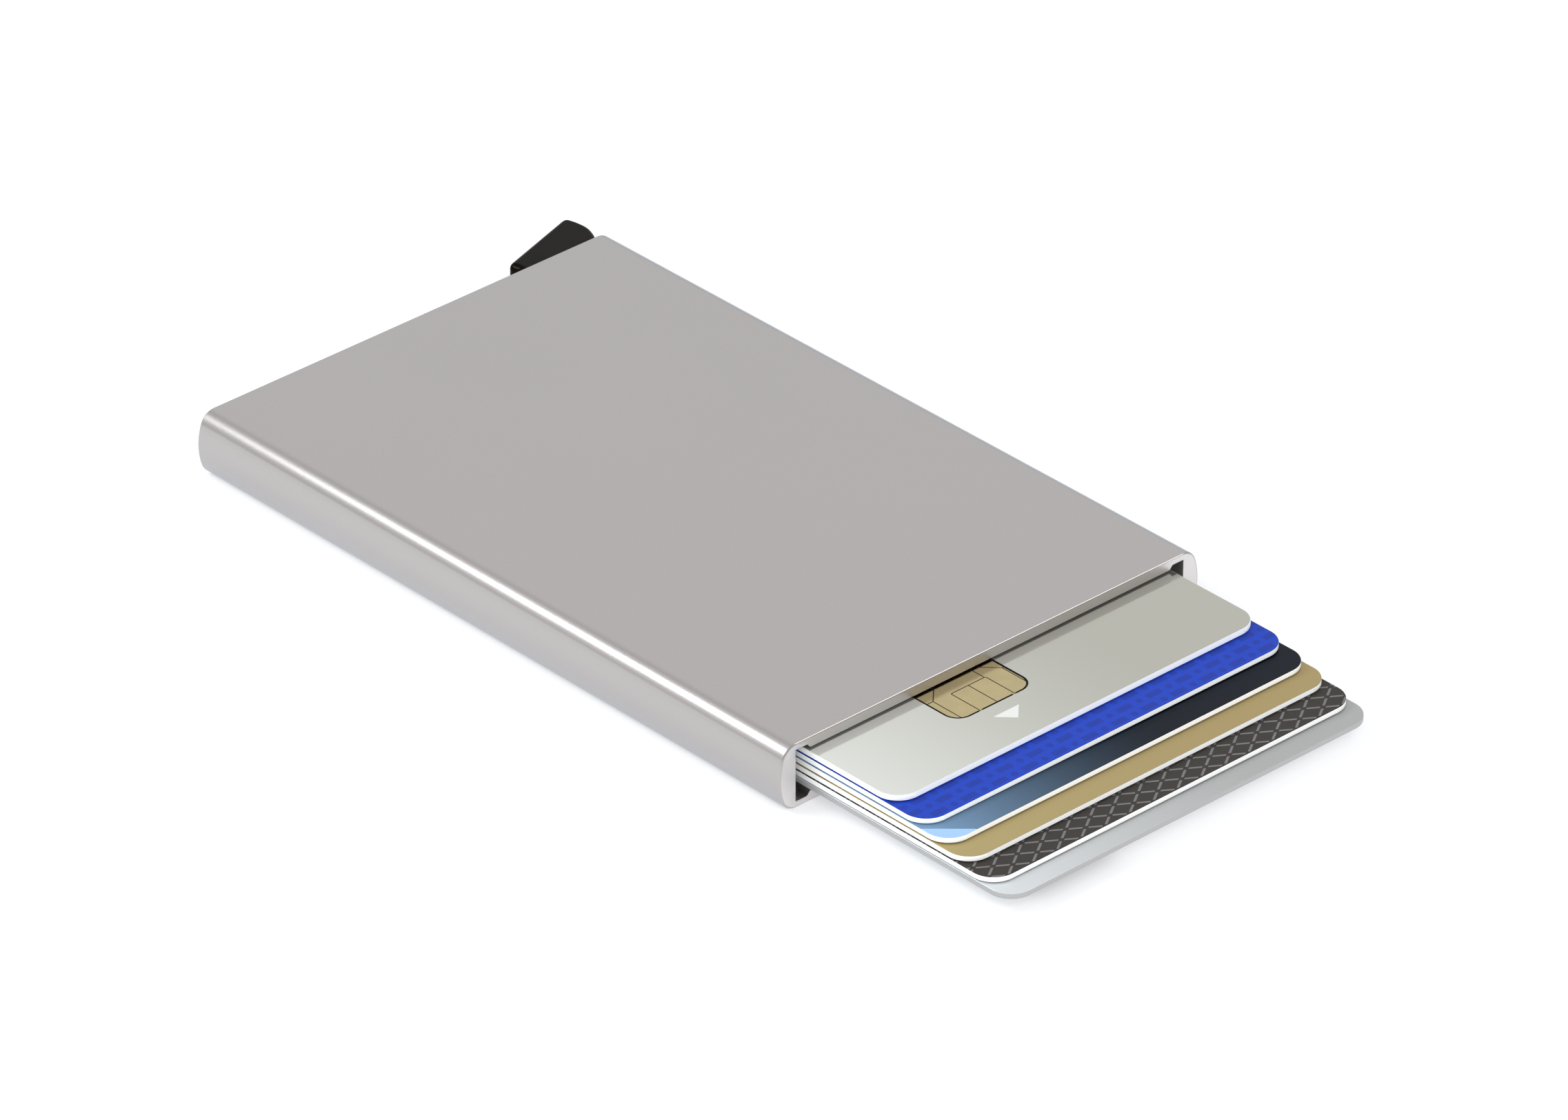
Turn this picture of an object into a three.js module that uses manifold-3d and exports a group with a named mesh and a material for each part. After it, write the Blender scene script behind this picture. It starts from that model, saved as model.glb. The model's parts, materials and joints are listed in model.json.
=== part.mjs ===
// Pop up card holder: a flat aluminium tube that holds six cards, with a sprung lever at its
// rear that swings a stepped ejector behind them, so that they come out as a fan.
// Millimetres. X runs across the holder, Y along it with the mouth at -Y, and Z up.
// The origin is the middle of the holder's flat underside.

import * as THREE from "three";
import { mergeVertices } from "three/addons/utils/BufferGeometryUtils.js";
import Module from "manifold-3d";

const wasm = await Module();
wasm.setup();

// Cards, of the usual bank card size
const cardLength = 85.6;
const cardWidth = 53.98;
const cardThickness = 0.7;
const cardCornerRadius = 2.88;
const cardEdgeBevel = 0.05;
const cardGap = 0.111;
const longestPopOut = 31.05;
// How far each card stands out of the mouth, the top card first, as a share of the longest
const popOutShares = [0.4444, 0.5829, 0.693, 0.7939, 0.9146, 1];
const cardCount = popOutShares.length;

// Contact plate let into the top card
const contactWidth = 11.9;
const contactLength = 13;
const contactThickness = 0.18;
const contactPocketDepth = 0.2;
const contactPocketGap = 0.06;
const contactCornerRadius = 2.4;
const contactFromFront = 7.2;
const contactOffCentre = 5.51;

// Case, an extruded tube whose room follows from the cards
const caseFaceWall = 1.3;
const caseGrooveWall = 0.8;
const caseSideWall = 2.35;
const caseGrooveWidth = 1.65;
const caseShoulderRun = 0.4;
const caseCornerRadius = 2.1;
const caseSideRadius = 8;
const caseEndChamfer = 0.15;
const roomAboveCards = 0.2;
const roomBelowCards = 0.445;

// Friction strips, which slide into the grooves and brush the long edges of the cards
const stripThickness = 1.45;
const stripBackGap = 0.05;
const stripCardGap = 0.16;
const stripGrooveGap = 0.05;
const stripFromMouth = 8;
const stripEndBevel = 0.3;

// Room behind the cards for the ejector
const pushInDepth = 0.25;
const mechanismDepth = 9.65;
const stopGap = 0.4;

// Lever, about its pivot
const pivotFromRear = 5.25;
const pivotFromRightWall = 6.65;
const leverUnderside = 2;
const leverTopGap = 0.1;
const leverEdgeRound = 0.45;
const hubRadius = 3;
const hubTop = 5.7;
const hubClearRadius = 3.9;
const rootReach = 6;
const rootLeadGap = 0.4;
const finSpan = 8.8;
const finReach = 12.9;
const finCornerRadius = 1.1;
// The hub's outline from its front round to its back: shares of the hub's radius across and along,
// and the rounding of each corner as a share of the same radius
const hubOutlineShares = [
  [-0.5, -1.333, 0.2],
  [0.4, -0.917, 0],
  [0.917, -0.4, 0.8],
  [1, 0.35, 0.3],
];
// Outline of the lever's fin from the hub round to the root: shares of the fin's span and of its
// reach, and the rounding of each corner as a share of the fin's corner radius
const finOutlineShares = [
  [0.545, 0.318, 0.3],
  [0.67, 0.419, 0.3],
  [0.925, 0.545, 0.6],
  [1, 0.74, 2],
  [0.965, 0.93, 1],
  [0.9, 1, 0.8],
  [-0.31, 0.695, 1.2],
  [-0.56, 0.54, 1],
  [-0.73, 0.35, 0.6],
  [-0.75, 0.14, 0.3],
];

// Ejector arm, stepped so that each card has its own finger
const armWidth = 3;
const fingerTipGap = 0.27;
const fingerEdgeBevel = 0.05;

// Pivot pin and its holes
const pinRadius = 1;
const pinEndGap = 0.1;
const lugHoleRadius = 1.05;
const hubBoreRadius = 1.08;

// Return spring, coiled round the pin in a pocket of the hub
const springWire = 0.45;
const springCoilRadius = 1.75;
const springCoilHeight = 1.5;
const springPocketRadius = 2.4;
const springPocketDepth = 1.7;
const springPocketGap = 0.1;
const springLegReach = 5;
const springLegSlotGap = 0.22;
const springLegClearance = 0.3;
const springLegSeat = 0.5;
const springWindowStart = -108;
const springWindowEnd = -20;

// Rear plug, one moulding with the closing plate, the lever's lugs, stops and ribs
const plugGap = 0.05;
const plugRecess = 0.3;
const plateThickness = 1.4;
const plateLeverGap = 9.4;
const lugRadius = 2.9;
const lugThickness = 0.8;
const floorThickness = 0.55;
const floorBehindArm = 0.4;
const blockWidth = 1.35;
const blockLeverGap = 3.1;
const neckLead = 2.2;
const neckTail = 0.8;
const ribThickness = 1.1;
const ribCount = 3;
const ribArmGap = 0.3;
const ribFaceGap = 0.1;
const stopWidth = 4;
const stopTipGap = 0.5;
const stopCardGap = 0.1;

// Shared by every cut: how far a cutter passes the surface that it opens
const cutOverrun = 1;

// Fineness of round stretches, the longest share of an edge that a corner's rounding takes, and
// the distance within which corners of a solid count as one
const pinSides = 24;
const wireSides = 8;
const arcSteps = 8;
const roundingShare = 0.45;
const weldDistance = 0.0001;

// Heights, from the underside up
const cardPitch = cardThickness + cardGap;
const stackHeight = (cardCount - 1) * cardPitch + cardThickness;
const roomFloor = caseFaceWall;
const stackBottom = roomFloor + roomBelowCards;
const roomCeiling = stackBottom + stackHeight + roomAboveCards;
const caseHeight = roomCeiling + caseFaceWall;
const leverTop = roomCeiling - leverTopGap;

// Lengths, from the middle to both ends
const caseLength = cardLength + pushInDepth + mechanismDepth;
const mouthY = -caseLength / 2;
const rearY = caseLength / 2;
const cardsInRearY = mouthY + pushInDepth + cardLength;
const plateRearY = rearY - plugRecess;
const plateFrontY = plateRearY - plateThickness;
const pivotY = rearY - pivotFromRear;
const armLead = pivotY - cardsInRearY - rootLeadGap;
const armFrontY = pivotY - armLead;
const armBackY = armFrontY + armWidth;
const stopFrontY = cardsInRearY + stopCardGap;

// Widths, from the middle out
const cardHalf = cardWidth / 2;
const stripInnerX = cardHalf + stripCardGap;
const stripOuterX = stripInnerX + stripThickness;
const roomHalf = stripOuterX + stripBackGap;
const caseWidth = 2 * (roomHalf + caseSideWall);
const grooveInnerX = roomHalf - caseGrooveWidth;
const shoulderX = grooveInnerX - caseShoulderRun;
const pivotX = roomHalf - pivotFromRightWall;
const plugHalf = roomHalf - plugGap;

// A card's place: how far it stands out, counted from the mouth, and the height of its underside
const popOut = (index) => longestPopOut * popOutShares[index];
const cardBottom = (index) => stackBottom + (cardCount - 1 - index) * cardPitch;
const cardRearY = (index) => mouthY - popOut(index) + cardLength;

// At full swing the tip of each finger stops just short of its own card, where that one is popped
// out. The longest finger reaches as far across as the plug's stop lets it, which gives the
// lever's full swing, and the swing gives the reach of the other fingers.
const cardOrder = popOutShares.map((share, index) => index);
const tipTravel = (index) => pivotY - cardRearY(index) - fingerTipGap;
const stopRightX = stopWidth - plugHalf;
const longestFinger = pivotX - stopRightX - stopTipGap;
const longestTravel = Math.max(...cardOrder.map(tipTravel));
const tipLean = Math.atan2(armLead, longestFinger);
const swing = Math.asin(longestTravel / Math.hypot(longestFinger, armLead)) - tipLean;
const fingerReach = (index) => (tipTravel(index) - armLead * Math.cos(swing)) / Math.sin(swing);

// Materials
function finish(color, roughness, metalness) {
  return new THREE.MeshStandardMaterial({ color, roughness, metalness });
}
const satinAluminium = () => finish(0xb4b2b1, 0.34, 1);
const blackMoulding = () => finish(0x2a2925, 0.5, 0);
const springSteel = () => finish(0x9a9c9e, 0.3, 1);
const softFelt = () => finish(0x1c1c1c, 0.95, 0);
const goldContact = () => finish(0xb4a57c, 0.35, 1);
const cardColours = [0xc9ccc4, 0x2f4ebe, 0x4a5664, 0xab9a6d, 0x44403d, 0xc4c6c8];
const cardPrint = (index) => finish(cardColours[index], 0.25, 0);

// Solids and meshes
function solidOf(geometry) {
  const plain = geometry.clone();
  plain.deleteAttribute("normal");
  plain.deleteAttribute("uv");
  const merged = mergeVertices(plain, weldDistance);
  const vertProperties = Float32Array.from(merged.getAttribute("position").array);
  const triVerts = Uint32Array.from(merged.getIndex().array);
  return new wasm.Manifold(new wasm.Mesh({ numProp: 3, vertProperties, triVerts }));
}

function geometryOf(solid) {
  const mesh = solid.getMesh();
  const positions = new Float32Array(mesh.numVert * 3);
  for (let i = 0; i < mesh.numVert; i += 1) {
    positions.set(mesh.vertProperties.subarray(i * mesh.numProp, i * mesh.numProp + 3), i * 3);
  }
  const geometry = new THREE.BufferGeometry();
  geometry.setAttribute("position", new THREE.BufferAttribute(positions, 3));
  geometry.setIndex(new THREE.BufferAttribute(Uint32Array.from(mesh.triVerts), 1));
  const flat = geometry.toNonIndexed();
  flat.computeVertexNormals();
  return flat;
}

const joined = (solids) => solids.reduce((sum, solid) => sum.add(solid));
const cutBy = (solid, cutters) => cutters.reduce((rest, cutter) => rest.subtract(cutter), solid);

function named(name, geometry, material) {
  const mesh = new THREE.Mesh(geometry, material);
  mesh.name = name;
  return mesh;
}

// A plan outline raised from one height to another, its top and bottom edges bevelled
function raised(shape, low, high, bevel = 0, curveSegments = arcSteps) {
  const geometry = new THREE.ExtrudeGeometry(shape, {
    depth: high - low - 2 * bevel,
    bevelEnabled: bevel > 0,
    bevelThickness: bevel,
    bevelSize: bevel,
    bevelOffset: -bevel,
    bevelSegments: 1,
    curveSegments,
  });
  return geometry.translate(0, 0, low + bevel);
}

// A cross section in X and Z drawn along Y
function drawnAlong(shape, nearY, farY, bevel = 0) {
  const geometry = raised(shape, 0, farY - nearY, bevel);
  return geometry.rotateX(Math.PI / 2).translate(0, farY, 0);
}

function block(low, high) {
  const size = high.map((value, axis) => value - low[axis]);
  const middle = high.map((value, axis) => (value + low[axis]) / 2);
  return new THREE.BoxGeometry(...size).translate(...middle);
}

// A closed outline of straight runs with a rounded corner at each [x, y, radius]
function roundedOutline(corners) {
  const shape = new THREE.Shape();
  corners.forEach(([x, y, radius], index) => {
    const corner = new THREE.Vector2(x, y);
    const before = new THREE.Vector2(...corners.at(index - 1));
    const after = new THREE.Vector2(...corners[(index + 1) % corners.length]);
    const enter = trimmed(corner, before, radius);
    const leave = trimmed(corner, after, radius);
    if (index === 0) shape.moveTo(enter.x, enter.y);
    else shape.lineTo(enter.x, enter.y);
    if (radius > 0) shape.quadraticCurveTo(corner.x, corner.y, leave.x, leave.y);
  });
  shape.closePath();
  return shape;
}

function trimmed(corner, neighbour, radius) {
  const run = neighbour.clone().sub(corner);
  const reach = Math.min(radius, run.length() * roundingShare);
  return corner.clone().add(run.setLength(reach));
}

function roundedRectangle(width, length, radius) {
  const x = width / 2 - radius;
  const y = length / 2 - radius;
  const quarter = Math.PI / 2;
  const shape = new THREE.Shape();
  shape.absarc(x, -y, radius, -quarter, 0);
  shape.absarc(x, y, radius, 0, quarter);
  shape.absarc(-x, y, radius, quarter, 2 * quarter);
  shape.absarc(-x, -y, radius, 2 * quarter, 3 * quarter);
  shape.closePath();
  return shape;
}

function disc(radius, low, high, sides = pinSides) {
  const geometry = new THREE.CylinderGeometry(radius, radius, high - low, sides);
  return geometry.rotateX(Math.PI / 2).translate(0, 0, (high + low) / 2);
}

// Case outline: flat top and underside, rounded corners and gently bowed long sides
function caseOutline() {
  const half = caseWidth / 2;
  const middle = caseHeight / 2;
  const lean = Math.asin((middle - caseCornerRadius) / (caseSideRadius - caseCornerRadius));
  const sideX = half - caseSideRadius;
  const cornerX = sideX + (caseSideRadius - caseCornerRadius) * Math.cos(lean);
  const lowZ = caseCornerRadius;
  const highZ = caseHeight - caseCornerRadius;
  const quarter = Math.PI / 2;
  const shape = new THREE.Shape();
  shape.absarc(cornerX, lowZ, caseCornerRadius, -quarter, -lean);
  shape.absarc(sideX, middle, caseSideRadius, -lean, lean);
  shape.absarc(cornerX, highZ, caseCornerRadius, lean, quarter);
  shape.absarc(-cornerX, highZ, caseCornerRadius, quarter, Math.PI - lean);
  shape.absarc(-sideX, middle, caseSideRadius, Math.PI - lean, Math.PI + lean);
  shape.absarc(-cornerX, lowZ, caseCornerRadius, Math.PI + lean, 3 * quarter);
  shape.closePath();
  return shape;
}

// Outline of the room inside the case, or of a piece that fits it with a gap all round
function roomOutline(gap) {
  const wallX = roomHalf - gap;
  const grooveX = grooveInnerX + gap;
  const faceX = shoulderX + gap;
  const grooveLow = caseGrooveWall + gap;
  const grooveHigh = caseHeight - caseGrooveWall - gap;
  const faceLow = roomFloor + gap;
  const faceHigh = roomCeiling - gap;
  const shape = new THREE.Shape();
  shape.moveTo(-wallX, grooveLow);
  shape.lineTo(-grooveX, grooveLow);
  shape.lineTo(-faceX, faceLow);
  shape.lineTo(faceX, faceLow);
  shape.lineTo(grooveX, grooveLow);
  shape.lineTo(wallX, grooveLow);
  shape.lineTo(wallX, grooveHigh);
  shape.lineTo(grooveX, grooveHigh);
  shape.lineTo(faceX, faceHigh);
  shape.lineTo(-faceX, faceHigh);
  shape.lineTo(-grooveX, grooveHigh);
  shape.lineTo(-wallX, grooveHigh);
  shape.closePath();
  return shape;
}

function caseShell() {
  const outside = solidOf(drawnAlong(caseOutline(), mouthY, rearY, caseEndChamfer));
  const inside = solidOf(drawnAlong(roomOutline(0), mouthY - cutOverrun, rearY + cutOverrun));
  return named("case_shell", geometryOf(outside.subtract(inside)), satinAluminium());
}

// The strips lie against the side walls, keyed into both grooves
function frictionStrip(name, side) {
  const low = caseGrooveWall + stripGrooveGap;
  const high = caseHeight - caseGrooveWall - stripGrooveGap;
  const length = stopFrontY - stopTipGap - mouthY - stripFromMouth;
  const bevel = stripEndBevel;
  const plan = new THREE.Shape();
  const half = length / 2;
  plan.moveTo(stripThickness, -half);
  plan.lineTo(stripThickness, half);
  plan.lineTo(bevel, half);
  plan.lineTo(0, half - bevel);
  plan.lineTo(0, bevel - half);
  plan.lineTo(bevel, -half);
  plan.closePath();
  const strip = named(name, raised(plan, low, high), softFelt());
  strip.position.set(side * stripInnerX, mouthY + stripFromMouth + half, 0);
  if (side < 0) strip.rotation.z = Math.PI;
  return strip;
}

// Cards, stacked with the top one popped out least
function contactPlate() {
  const outline = roundedRectangle(contactWidth, contactLength, contactCornerRadius);
  return named("contact_plate", raised(outline, 0, contactThickness), goldContact());
}

function card(index) {
  const outline = roundedRectangle(cardWidth, cardLength, cardCornerRadius);
  let geometry = raised(outline, 0, cardThickness, cardEdgeBevel);
  const group = new THREE.Group();
  if (index === 0) {
    const plate = contactPlate();
    const pocketFloor = cardThickness - contactPocketDepth;
    const plateY = contactFromFront + (contactLength - cardLength) / 2;
    const pocketWidth = contactWidth + 2 * contactPocketGap;
    const pocketLength = contactLength + 2 * contactPocketGap;
    const pocketRadius = contactCornerRadius + contactPocketGap;
    const pocketOutline = roundedRectangle(pocketWidth, pocketLength, pocketRadius);
    const pocket = raised(pocketOutline, pocketFloor, cardThickness + cutOverrun);
    pocket.translate(-contactOffCentre, plateY, 0);
    geometry = geometryOf(solidOf(geometry).subtract(solidOf(pocket)));
    plate.position.set(-contactOffCentre, plateY, pocketFloor);
    group.add(plate);
  }
  group.add(named(`card_${index + 1}`, geometry, cardPrint(index)));
  group.position.set(0, cardRearY(index) - cardLength / 2, cardBottom(index));
  return group;
}

// Lever, drawn about its pivot: a hub, the fin that a finger pushes and the root of the arm
function leverOutline() {
  const hub = hubOutlineShares.map((shares) => shares.map((share) => share * hubRadius));
  const fin = finOutlineShares.map(([across, along, round]) => [
    across * finSpan,
    along * finReach,
    round * finCornerRadius,
  ]);
  const rootBack = [-rootReach, armWidth - armLead, 0];
  const rootFront = [-rootReach, -armLead, 0];
  return roundedOutline([rootFront, ...hub, ...fin, rootBack]);
}

function sector(innerRadius, outerRadius, start, end, low, high) {
  const from = THREE.MathUtils.degToRad(start);
  const to = THREE.MathUtils.degToRad(end);
  const shape = new THREE.Shape();
  shape.absarc(0, 0, outerRadius, from, to);
  shape.absarc(0, 0, innerRadius, to, from, true);
  shape.closePath();
  return raised(shape, low, high);
}

const springBottom = hubTop - springPocketDepth + springPocketGap;
const springTop = springBottom + springCoilHeight;
const upperLegZ = springTop - springWire / 2;
const lowerLegZ = springBottom + springWire / 2;

function ejectLever() {
  const body = solidOf(raised(leverOutline(), leverUnderside, leverTop, leverEdgeRound));
  const overTop = leverTop + cutOverrun;
  const pocketFloor = hubTop - springPocketDepth;
  const slotHalf = springWire / 2 + springLegSlotGap;
  const slotEnd = -springLegReach - springLegClearance;
  const legSlot = block(
    [slotEnd, springCoilRadius - slotHalf, upperLegZ - slotHalf],
    [0, springCoilRadius + slotHalf, overTop],
  );
  const window = sector(
    springPocketRadius - springPocketGap,
    hubClearRadius + cutOverrun,
    springWindowStart,
    springWindowEnd,
    pocketFloor,
    overTop,
  );
  const cutters = [
    disc(hubClearRadius, hubTop, overTop, 2 * pinSides),
    disc(springPocketRadius, pocketFloor, overTop, 2 * pinSides),
    disc(hubBoreRadius, -cutOverrun, overTop),
    legSlot,
    window,
  ];
  return named("eject_lever", geometryOf(cutBy(body, cutters.map(solidOf))), blackMoulding());
}

// Fingers of the arm, one behind each card, laid up face to face from the root outwards
function ejectorFinger(index) {
  const bevel = fingerEdgeBevel;
  const low = cardBottom(index) - cardGap / 2;
  const reach = fingerReach(index);
  const outline = new THREE.Shape();
  outline.moveTo(-reach + bevel, -armLead);
  outline.lineTo(-rootReach, -armLead);
  outline.lineTo(-rootReach, armWidth - armLead);
  outline.lineTo(-reach + bevel, armWidth - armLead);
  outline.lineTo(-reach, armWidth - armLead - bevel);
  outline.lineTo(-reach, -armLead + bevel);
  outline.closePath();
  return named(`ejector_finger_${index + 1}`, raised(outline, low, low + cardPitch), blackMoulding());
}

// The spring's coil and the leg that pushes the lever back turn with the lever
function springCoil() {
  const inner = springCoilRadius - springWire / 2;
  const outer = springCoilRadius + springWire / 2;
  const coilProfile = [
    [inner, springBottom],
    [outer, springBottom],
    [outer, springTop],
    [inner, springTop],
    [inner, springBottom],
  ].map(([radius, height]) => new THREE.Vector2(radius, height));
  const coil = new THREE.LatheGeometry(coilProfile, pinSides).rotateX(Math.PI / 2);
  const leg = block(
    [-springLegReach, springCoilRadius - springWire / 2, upperLegZ - springWire / 2],
    [0, springCoilRadius + springWire / 2, upperLegZ + springWire / 2],
  );
  return named("return_spring_coil", geometryOf(joined([coil, leg].map(solidOf))), springSteel());
}

function ejectorGroup() {
  const group = new THREE.Group();
  group.add(ejectLever());
  cardOrder.forEach((index) => group.add(ejectorFinger(index)));
  group.add(springCoil());
  group.position.set(pivotX, pivotY, 0);
  return group;
}

// The spring's other leg stays still, seated in the plug's block
const legStartX = springCoilRadius;
const blockInnerX = plugHalf - blockWidth;
const legEndX = blockInnerX - pivotX + springLegSeat;

function springFixedLeg() {
  const leg = disc(springWire / 2, legStartX, legEndX, wireSides).rotateY(Math.PI / 2);
  const mesh = named("return_spring_fixed_leg", leg, springSteel());
  mesh.position.set(pivotX, pivotY - springCoilRadius, lowerLegZ);
  return mesh;
}

function pivotPin() {
  const shaft = disc(pinRadius, roomFloor + pinEndGap, roomCeiling - pinEndGap);
  const pin = named("pivot_pin", shaft, springSteel());
  pin.position.set(pivotX, pivotY, 0);
  return pin;
}

// Rear plug, worked out in the holder's own frame
function rearPlug() {
  const low = roomFloor + plugGap;
  const high = roomCeiling - plugGap;
  const floorTop = low + floorThickness;
  const lugBottom = high - lugThickness;
  const plateRightX = pivotX - plateLeverGap;
  const atPivot = (geometry) => geometry.translate(pivotX, pivotY, 0);

  const room = solidOf(drawnAlong(roomOutline(plugGap), stopFrontY, plateRearY));
  const plate = block([-plugHalf, plateFrontY, 0], [plateRightX, plateRearY, caseHeight]);
  const stop = block([-plugHalf, stopFrontY, 0], [stopRightX, plateRearY, caseHeight]);
  const outer = [plate, stop].map((geometry) => solidOf(geometry).intersect(room));

  const floorFrontY = armBackY + floorBehindArm;
  const floor = block([plateRightX - ribThickness, floorFrontY, low], [plugHalf, plateRearY, floorTop]);
  const floorRight = block([pivotX, pivotY - lugRadius, low], [plugHalf, plateRearY, floorTop]);
  const lowerLug = atPivot(disc(lugRadius, low, floorTop, 2 * pinSides));

  const blockFrontY = pivotY - lugRadius;
  const blockBackY = pivotY + blockLeverGap;
  const sideBlock = block([blockInnerX, blockFrontY, low], [plugHalf, blockBackY, high]);
  const neck = block([pivotX, pivotY - neckLead, lugBottom], [plugHalf, pivotY + neckTail, high]);
  const upperLug = atPivot(disc(lugRadius, lugBottom, high, 2 * pinSides));

  const ribRun = plateRightX - stopRightX;
  const ribs = Array.from({ length: ribCount }, (unused, index) => {
    const x = stopRightX + (ribRun * (index + 1)) / (ribCount + 1);
    const half = ribThickness / 2;
    const front = armBackY + ribArmGap;
    return block([x - half, front, low + ribFaceGap], [x + half, plateRearY, high - ribFaceGap]);
  });

  const pinHole = atPivot(disc(lugHoleRadius, 0, caseHeight));
  const legHoleRadius = springWire / 2 + springPocketGap;
  const legHole = disc(legHoleRadius, 0, springLegSeat + springPocketGap + cutOverrun, wireSides);
  legHole.rotateY(Math.PI / 2);
  legHole.translate(blockInnerX - cutOverrun, pivotY - springCoilRadius, lowerLegZ);

  const inner = [floor, floorRight, lowerLug, sideBlock, neck, upperLug, ...ribs].map(solidOf);
  const moulding = cutBy(joined([...outer, ...inner]), [pinHole, legHole].map(solidOf));
  return named("rear_plug", geometryOf(moulding), blackMoulding());
}

// Assembly
const cardHolder = new THREE.Group();
cardHolder.add(caseShell());
cardHolder.add(frictionStrip("left_friction_strip", -1));
cardHolder.add(frictionStrip("right_friction_strip", 1));
cardOrder.forEach((index) => cardHolder.add(card(index)));
cardHolder.add(rearPlug());
cardHolder.add(pivotPin());
cardHolder.add(springFixedLeg());
cardHolder.add(ejectorGroup());

export default cardHolder;
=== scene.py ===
"""A pop up card holder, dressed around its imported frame.

A flat tube of satin anodised aluminium lies on a pale floor with six cards fanned out of its
mouth and a black lever standing out of one rear corner. X runs across the holder, Y along it
from the mouth to the lever, and Z up. Lengths are in metres, and MM turns millimetres into them.
"""

import json
import logging
import math
from collections.abc import Callable, Iterator, Sequence
from contextlib import contextmanager
from dataclasses import dataclass
from enum import Enum

import bmesh
import bpy
from mathutils import Euler, Matrix, Vector

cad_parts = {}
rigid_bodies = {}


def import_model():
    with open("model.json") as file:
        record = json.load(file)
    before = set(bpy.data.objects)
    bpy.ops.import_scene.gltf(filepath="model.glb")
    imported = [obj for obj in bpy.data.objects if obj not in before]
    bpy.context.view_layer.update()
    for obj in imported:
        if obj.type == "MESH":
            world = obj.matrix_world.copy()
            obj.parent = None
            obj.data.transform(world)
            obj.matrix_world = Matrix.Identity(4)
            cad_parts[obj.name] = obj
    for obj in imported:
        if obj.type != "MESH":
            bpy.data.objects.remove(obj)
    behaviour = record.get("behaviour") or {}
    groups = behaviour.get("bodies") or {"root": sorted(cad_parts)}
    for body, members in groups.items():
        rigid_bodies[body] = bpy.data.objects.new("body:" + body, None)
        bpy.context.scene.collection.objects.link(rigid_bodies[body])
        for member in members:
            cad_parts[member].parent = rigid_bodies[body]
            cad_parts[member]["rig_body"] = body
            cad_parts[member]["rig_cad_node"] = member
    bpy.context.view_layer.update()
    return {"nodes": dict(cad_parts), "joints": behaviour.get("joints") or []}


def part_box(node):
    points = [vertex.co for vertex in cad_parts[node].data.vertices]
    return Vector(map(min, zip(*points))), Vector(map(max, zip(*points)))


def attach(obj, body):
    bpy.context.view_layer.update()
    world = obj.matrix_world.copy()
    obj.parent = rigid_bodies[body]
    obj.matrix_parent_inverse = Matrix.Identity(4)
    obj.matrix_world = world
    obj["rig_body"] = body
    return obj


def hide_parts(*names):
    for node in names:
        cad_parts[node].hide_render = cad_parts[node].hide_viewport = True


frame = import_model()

MM = 0.001
QUARTER = math.pi / 2
PICTURE_WIDTH = 2274
# Points nearer than these are one point: in a copied node, and in a piece made here
NODE_MERGE = 0.001 * MM
PIECE_MERGE = 0.0001 * MM
# The cosine past which a face counts as square to an axis, and the one below which as along it
SQUARE, ALONG = 0.99, 0.1
# The share of its length that an upright edge rises, and the angle in degrees of a corner
UPRIGHT = 0.9
CORNER_ANGLE = 60
# Places match to a tenth of a micron
STEPS_PER_METRE = 1e7

Pair = tuple[float, float]
Triple = tuple[float, float, float]
Socket = bpy.types.NodeSocket
Masks = dict[str, bpy.types.NodeSocket]
EdgeTest = Callable[[bmesh.types.BMEdge], bool]
LayerFinder = Callable[[bpy.types.MeshPolygon], int]

log = logging.getLogger("card_holder")


class Slot(Enum):
    """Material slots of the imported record."""

    ALUMINIUM = "satin_aluminium"
    MOULDING = "black_moulding"
    STEEL = "spring_steel"
    FELT = "friction_felt"
    CONTACT = "gold_contact"
    PALE_CARD = "pale_grey_card"
    BLUE_CARD = "blue_card"
    NAVY_CARD = "navy_card"
    GOLD_CARD = "gold_card"
    BROWN_CARD = "dark_brown_card"
    SILVER_CARD = "silver_card"


class Body(Enum):
    """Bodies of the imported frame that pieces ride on."""

    CASE = "case"
    LEVER = "lever"
    CARDS = ("first_card", "second_card", "third_card", "fourth_card", "fifth_card", "sixth_card")


# The bench: operators that shape one piece at a time


def deselect_all() -> None:
    """Leaves edit mode and deselects every object."""
    if bpy.context.mode != "OBJECT":
        bpy.ops.object.mode_set(mode="OBJECT")
    bpy.ops.object.select_all(action="DESELECT")


def place_key(point: Sequence[float]) -> tuple[int, ...]:
    """Returns a point's place to the nearest tenth of a micron, so that places can be matched."""
    return tuple(round(value * STEPS_PER_METRE) for value in point)


def numbered(points: Sequence[Vector]) -> dict[tuple[int, ...], int]:
    """Returns the number of each point by its place."""
    return {place_key(point): index for index, point in enumerate(points)}


def bends(edge: bmesh.types.BMEdge, degrees: float) -> bool:
    """Tells an edge at which the surface turns by more than so many degrees."""
    return edge.is_manifold and edge.calc_face_angle() > math.radians(degrees)


def is_corner(edge: bmesh.types.BMEdge) -> bool:
    """Tells an edge at which two sides of a piece meet."""
    return bends(edge, CORNER_ANGLE)


def is_upright(edge: bmesh.types.BMEdge) -> bool:
    """Tells an upright edge."""
    return abs(edge.verts[0].co.z - edge.verts[1].co.z) > UPRIGHT * edge.calc_length()


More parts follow.
